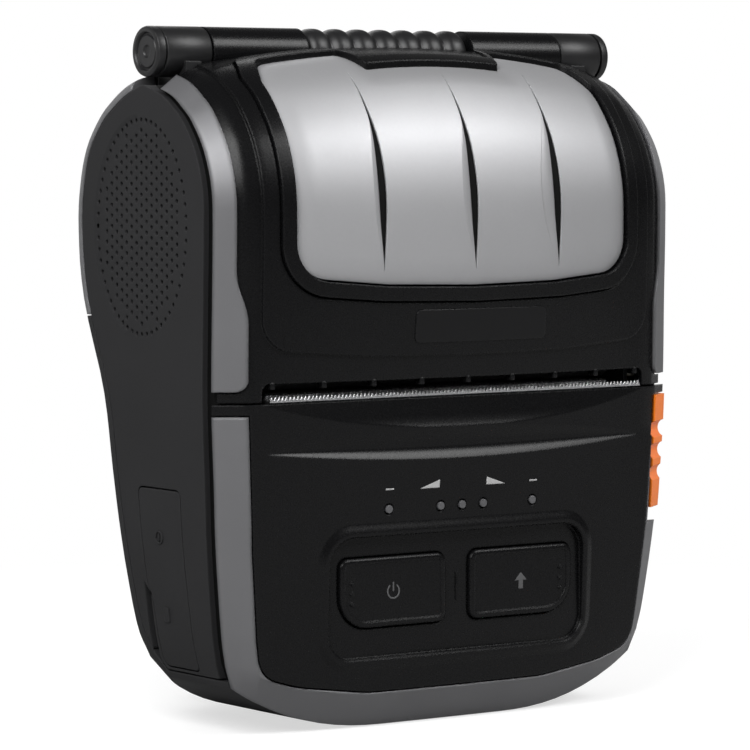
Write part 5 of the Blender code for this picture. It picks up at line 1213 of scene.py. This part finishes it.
PIN_BORE, ROUND, CAP, FOOT_START = 0.0015, 0.0004, 0.0016, 0.0428
for side, name in ((-1, "left"), (1, "right")):
    start, end = HALF_WIDTH - CAP - GAP - 0.0098, HALF_WIDTH - CAP - GAP
    profile = [
        (start, PIN_BORE), (start, BARREL - ROUND), (start + ROUND / 3, BARREL - ROUND / 3), (
            start + ROUND, BARREL
        ),
        (end - ROUND, BARREL), (end - ROUND / 3, BARREL - ROUND / 3), (end, BARREL - ROUND),
        (end, PIN_BORE), (
            start, PIN_BORE
        ),
    ]
    barrel = turned([(side * a, r) for a, r in profile], HINGE)
    foot = box(
        (side * FOOT_START, side * (STRIP_X - GAP)), (HINGE_Y - 0.0046, HINGE_Y + 0.0046),
        (HINGE_Z - 0.0070 - BARREL, HINGE_Z - PIN_BORE - GAP)
    )
    finish_piece(
        join(barrel, foot), "hinge_bracket_%s_skin" % name, "housing", "hinge_black",
        ["hinge_bracket_" + name]
    )
    inner, outer = HALF_WIDTH - CAP, HALF_WIDTH
    profile = [
        (inner, 0.0), (inner, BARREL), (outer - 0.0005, BARREL), (outer - 0.00015, BARREL - 0.00015), (
            outer, BARREL - 0.0005
        ),
        (outer, BARREL - 0.0010), (outer - 0.0002, BARREL - 0.0012), (outer - 0.0006, BARREL - 0.0013), (
            outer - 0.0006, BARREL - 0.0016
        ),
        (outer - 0.0003, BARREL - 0.0018), (outer - 0.0003, 0.0012), (outer - 0.0006, 0.0010), (
            outer - 0.0007, 0.0
        ),
    ]
    finish_piece(
        turned([(side * a, r) for a, r in profile], HINGE), "hinge_cap_%s_skin" % name, "housing",
        "hinge_black", ["hinge_cap_" + name]
    )

# %% Ribbed middle barrel
half, pitch, ribs = 0.0188, 0.0052, 7
profile = [(-half, PIN_BORE)]
for k in range(ribs):
    middle = (k - (ribs - 1) / 2) * pitch
    for turn in np.linspace(-1, 1, 11):
        profile.append((middle + turn * pitch * 0.46, BARREL - 0.0011 * abs(turn) ** 3))
profile += [(half, PIN_BORE), (-half, PIN_BORE)]
post_low, post_high = (Vector(corner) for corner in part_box("hinge_centre_barrel"))
ribbed = join(
    turned(profile, HINGE),
    box((-half + GAP, half - GAP), (HINGE_Y, BARREL_REAR - 2 * GAP), (post_low.z, HINGE_Z - PIN_BORE - GAP)),
    common(
        box((-half + 2 * GAP, half - 2 * GAP), (HINGE_Y + GAP, post_high.y), (post_low.z + GAP, HINGE_Z)),
        body(WALL + GAP, FINE_LEVELS, CORE_SHARES)
    ),
)
finish_piece(ribbed, "hinge_centre_barrel_skin", "housing", "hinge_black", ["hinge_centre_barrel"])
print("Hinge made")

# %% [markdown]
# ## Release lever
# The orange slide on the right corner opens the lid. It is cut from a body a little larger than the
# rest, so it stands proud for the thumb, and three round notches across it give the thumb a hold.

# %% Release lever
grip = box((STRIP_X + GAP, HALF_WIDTH), (-FAR, LEVER_REAR), (LEVER_LOW, LEVER_HIGH))
lever = common(body(-0.0003), grip)
slope = math.atan2(STRIP_DEPTH, HALF_WIDTH - STRIP_X)
for k in (-1, 0, 1):
    notch = cylinder(0.0016, -0.01, 0.01, (0, 0), "X", 40)
    place = (
        (STRIP_X + HALF_WIDTH) / 2, LEVER_REAR - LEVER_DEPTH - STRIP_DEPTH / 2 - 0.0008,
        (LEVER_LOW + LEVER_HIGH) / 2 + k * 0.0042
    )
    notch.data.transform(Matrix.Translation(place) @ Matrix.Rotation(slope, 4, "Z"))
    lever = cut(lever, notch)
finish_piece(lever, "release_lever_skin", "lever", "lever_orange", ["release_lever"])

# %% [markdown]
# ## Port flap
# A soft door over the data and charging ports, hinged at its front edge. Two embossed signs say what
# lies behind it: a flat socket and a round one.

# %% Port flap
skin = cut(copy_of(MASTER), body(0.0016, FINE_LEVELS, CORE_SHARES))
flap = common(skin, prism(flap_outline(0.0), "X", -FAR, -POCKET_FLOOR))
finish_piece(flap, "port_flap_skin", "flap", "side_black", ["port_flap"], skin=True)
signs = join(
    prism(ring_outline((-0.0008, 0.0352), 0.0011, 0, 359.9, 32), "X", -FAR, -0.040),
    prism(rectangle((-0.00095, -0.00065), (0.0345, 0.0359)), "X", -FAR, -0.040),
    prism(rounded(rectangle((-0.0016, 0.0000), (0.0195, 0.0223)), 0.0003, 4), "X", -FAR, -0.040),
)
emboss = layer(0.00025)
finish_piece(common(signs, emboss), "port_signs", "flap", "side_black")
print("Lever and flap made")

# %% [markdown]
# ## Battery and its catch
# The battery is a block with generous corners that fills the rear opening. Fine grooves across its
# back help to pull it out, and the catch above it has ridges for a fingertip.

# %% Battery and catch
pack = box((pack_low.x, pack_high.x), (pack_low.y, pack_high.y), (pack_low.z, pack_high.z), 0.0025, 8)
for k in range(6):
    z = pack_low.z + 0.006 + k * 0.0018
    pack = cut(pack, box((-0.018, 0.018), (pack_high.y - 0.0004, FAR), (z - 0.0004, z + 0.0004)))
finish_piece(pack, "battery_pack_skin", "battery", "side_black", ["battery_pack"])
for k in range(4):
    z = catch_low.z + 0.0014 + k * 0.0009
    ridge = box(
        (-0.0050, 0.0050), (catch_high.y - 0.0004, catch_high.y + 0.00025), (z - 0.0002, z + 0.0002),
        0.00012, 2
    )
    finish_piece(ridge, "catch_ridge_%d" % (k + 1), "catch", "lever_orange")
print("Battery made")

# %% [markdown]
# ## Light and floor
# Soft studio light from three panels: one at the upper left for the ear, one in front and above for
# the brow, the lips and the window, and a weak one behind. Mirrored rays see a dark room with one
# pale wall behind the printer. The floor turns white by its own light, and it keeps a soft shadow.

# %% Materials for the carried-over nodes
for node_name, node in frame["nodes"].items():
    slot_name = next(s["material_slot"] for s in frame["record"]["subparts"] if s["node"] == node_name)
    node.data.materials.clear()
    node.data.materials.append(FINISHES[slot_name])

# %% Floor and light
FLOOR_HALF, FLOOR_DROP = 3.0, 0.0002
PAPER_GLOW, WHITE_START, WHITE_END = 0.64, 0.12, 0.26
floor = bpy.data.objects.new("floor", bpy.data.meshes.new("floor"))
bpy.context.scene.collection.objects.link(floor)
floor_form = bmesh.new()
bmesh.ops.create_grid(floor_form, x_segments=1, y_segments=1, size=FLOOR_HALF)
floor_form.to_mesh(floor.data)
floor_form.free()
floor.location.z = -FLOOR_DROP

paper = bpy.data.materials.new("white_sweep_paper")
paper.use_nodes = True
tree = paper.node_tree
shader = tree.nodes["Principled BSDF"]
shader.inputs["Base Color"].default_value = linear("#a8a8a8")
shader.inputs["Roughness"].default_value = 0.9
place = add_node(tree, "NewGeometry")
far = add_node(tree, "VectorMath", {0: place.outputs["Position"]}, operation="LENGTH")
fade = add_node(tree, "MapRange", {"Value": far.outputs["Value"], "From Min": WHITE_START, "From Max": WHITE_END})
path = add_node(tree, "LightPath")
glow = add_node(tree, "Emission", {"Color": (1, 1, 1, 1), "Strength": PAPER_GLOW})
lit = add_node(tree, "AddShader", {0: shader.outputs[0], 1: glow.outputs[0]})
white = add_node(tree, "Emission", {"Color": (1, 1, 1, 1), "Strength": 1.0})
sweep = add_node(tree, "MixShader", {0: fade.outputs["Result"], 1: lit.outputs[0], 2: white.outputs[0]})
seen = add_node(
    tree, "MixShader", {0: path.outputs["Is Camera Ray"], 1: shader.outputs[0], 2: sweep.outputs[0]}
)
tree.links.new(seen.outputs[0], tree.nodes["Material Output"].inputs["Surface"])
floor.data.materials.append(paper)

# %% The studio
DARK_ROOM, SOFT_SKY = 0.06, 0.38
world = bpy.data.worlds.new("studio")
bpy.context.scene.world = world
world.use_nodes = True
tree = world.node_tree
path = add_node(tree, "LightPath")
direction = add_node(tree, "TexCoord")
parts = add_node(tree, "SeparateXYZ", {0: direction.outputs["Generated"]})
behind = add_node(
    tree, "MapRange",
    {"Value": parts.outputs["Y"], "From Min": -0.1, "From Max": 0.5, "To Min": 0.0, "To Max": 1.0}
)
above = add_node(
    tree, "MapRange",
    {"Value": parts.outputs["Z"], "From Min": 0.12, "From Max": 0.5, "To Min": 0.9, "To Max": 0.10}
)
wall = add_node(tree, "Math", {0: behind.outputs["Result"], 1: above.outputs["Result"]}, operation="MULTIPLY")
wall = add_node(tree, "Math", {0: wall.outputs[0], 1: DARK_ROOM}, operation="MAXIMUM")
room = add_node(tree, "Math", {0: path.outputs["Is Glossy Ray"], 1: wall.outputs[0]}, operation="MULTIPLY")
seen = add_node(
    tree, "Math", {0: path.outputs["Is Camera Ray"], 1: path.outputs["Is Transmission Ray"]},
    operation="MAXIMUM",
)
seen = add_node(tree, "Math", {0: seen.outputs[0], 1: room.outputs[0]}, operation="MAXIMUM")
dim = add_node(tree, "Math", {0: 1.0, 1: path.outputs["Is Glossy Ray"]}, operation="SUBTRACT")
soft = add_node(tree, "Math", {0: dim.outputs[0], 1: SOFT_SKY}, operation="MULTIPLY")
strength = add_node(tree, "Math", {0: seen.outputs[0], 1: soft.outputs[0]}, operation="MAXIMUM")
sky = add_node(tree, "Background", {"Color": (1, 1, 1, 1), "Strength": strength.outputs[0]})
tree.links.new(sky.outputs[0], tree.nodes["World Output"].inputs["Surface"])


def panel_light(name, place, size, watts, aim=(0, 0, 0.064)):
    """A rectangular studio light at a place, turned to the printer."""
    light = bpy.data.lights.new(name, "AREA")
    light.shape, light.size, light.size_y, light.energy = "RECTANGLE", size[0], size[1], watts
    lamp = bpy.data.objects.new(name, light)
    bpy.context.scene.collection.objects.link(lamp)
    lamp.location = place
    lamp.rotation_euler = (Vector(aim) - Vector(place)).to_track_quat("-Z", "Y").to_euler()
    return lamp


panel_light("key", (-0.40, -0.24, 0.42), (0.35, 0.35), 3.8, aim=(0, 0, 0.10))
panel_light("front", (0.48, -0.62, 0.72), (0.5, 0.4), 6.5)
panel_light("rear", (0.2, 0.9, 0.7), (0.7, 0.5), 2.5)
bpy.context.scene.view_settings.view_transform = "Standard"

# %% Dropping the working forms
drop(MASTER, INNER, SHELL)
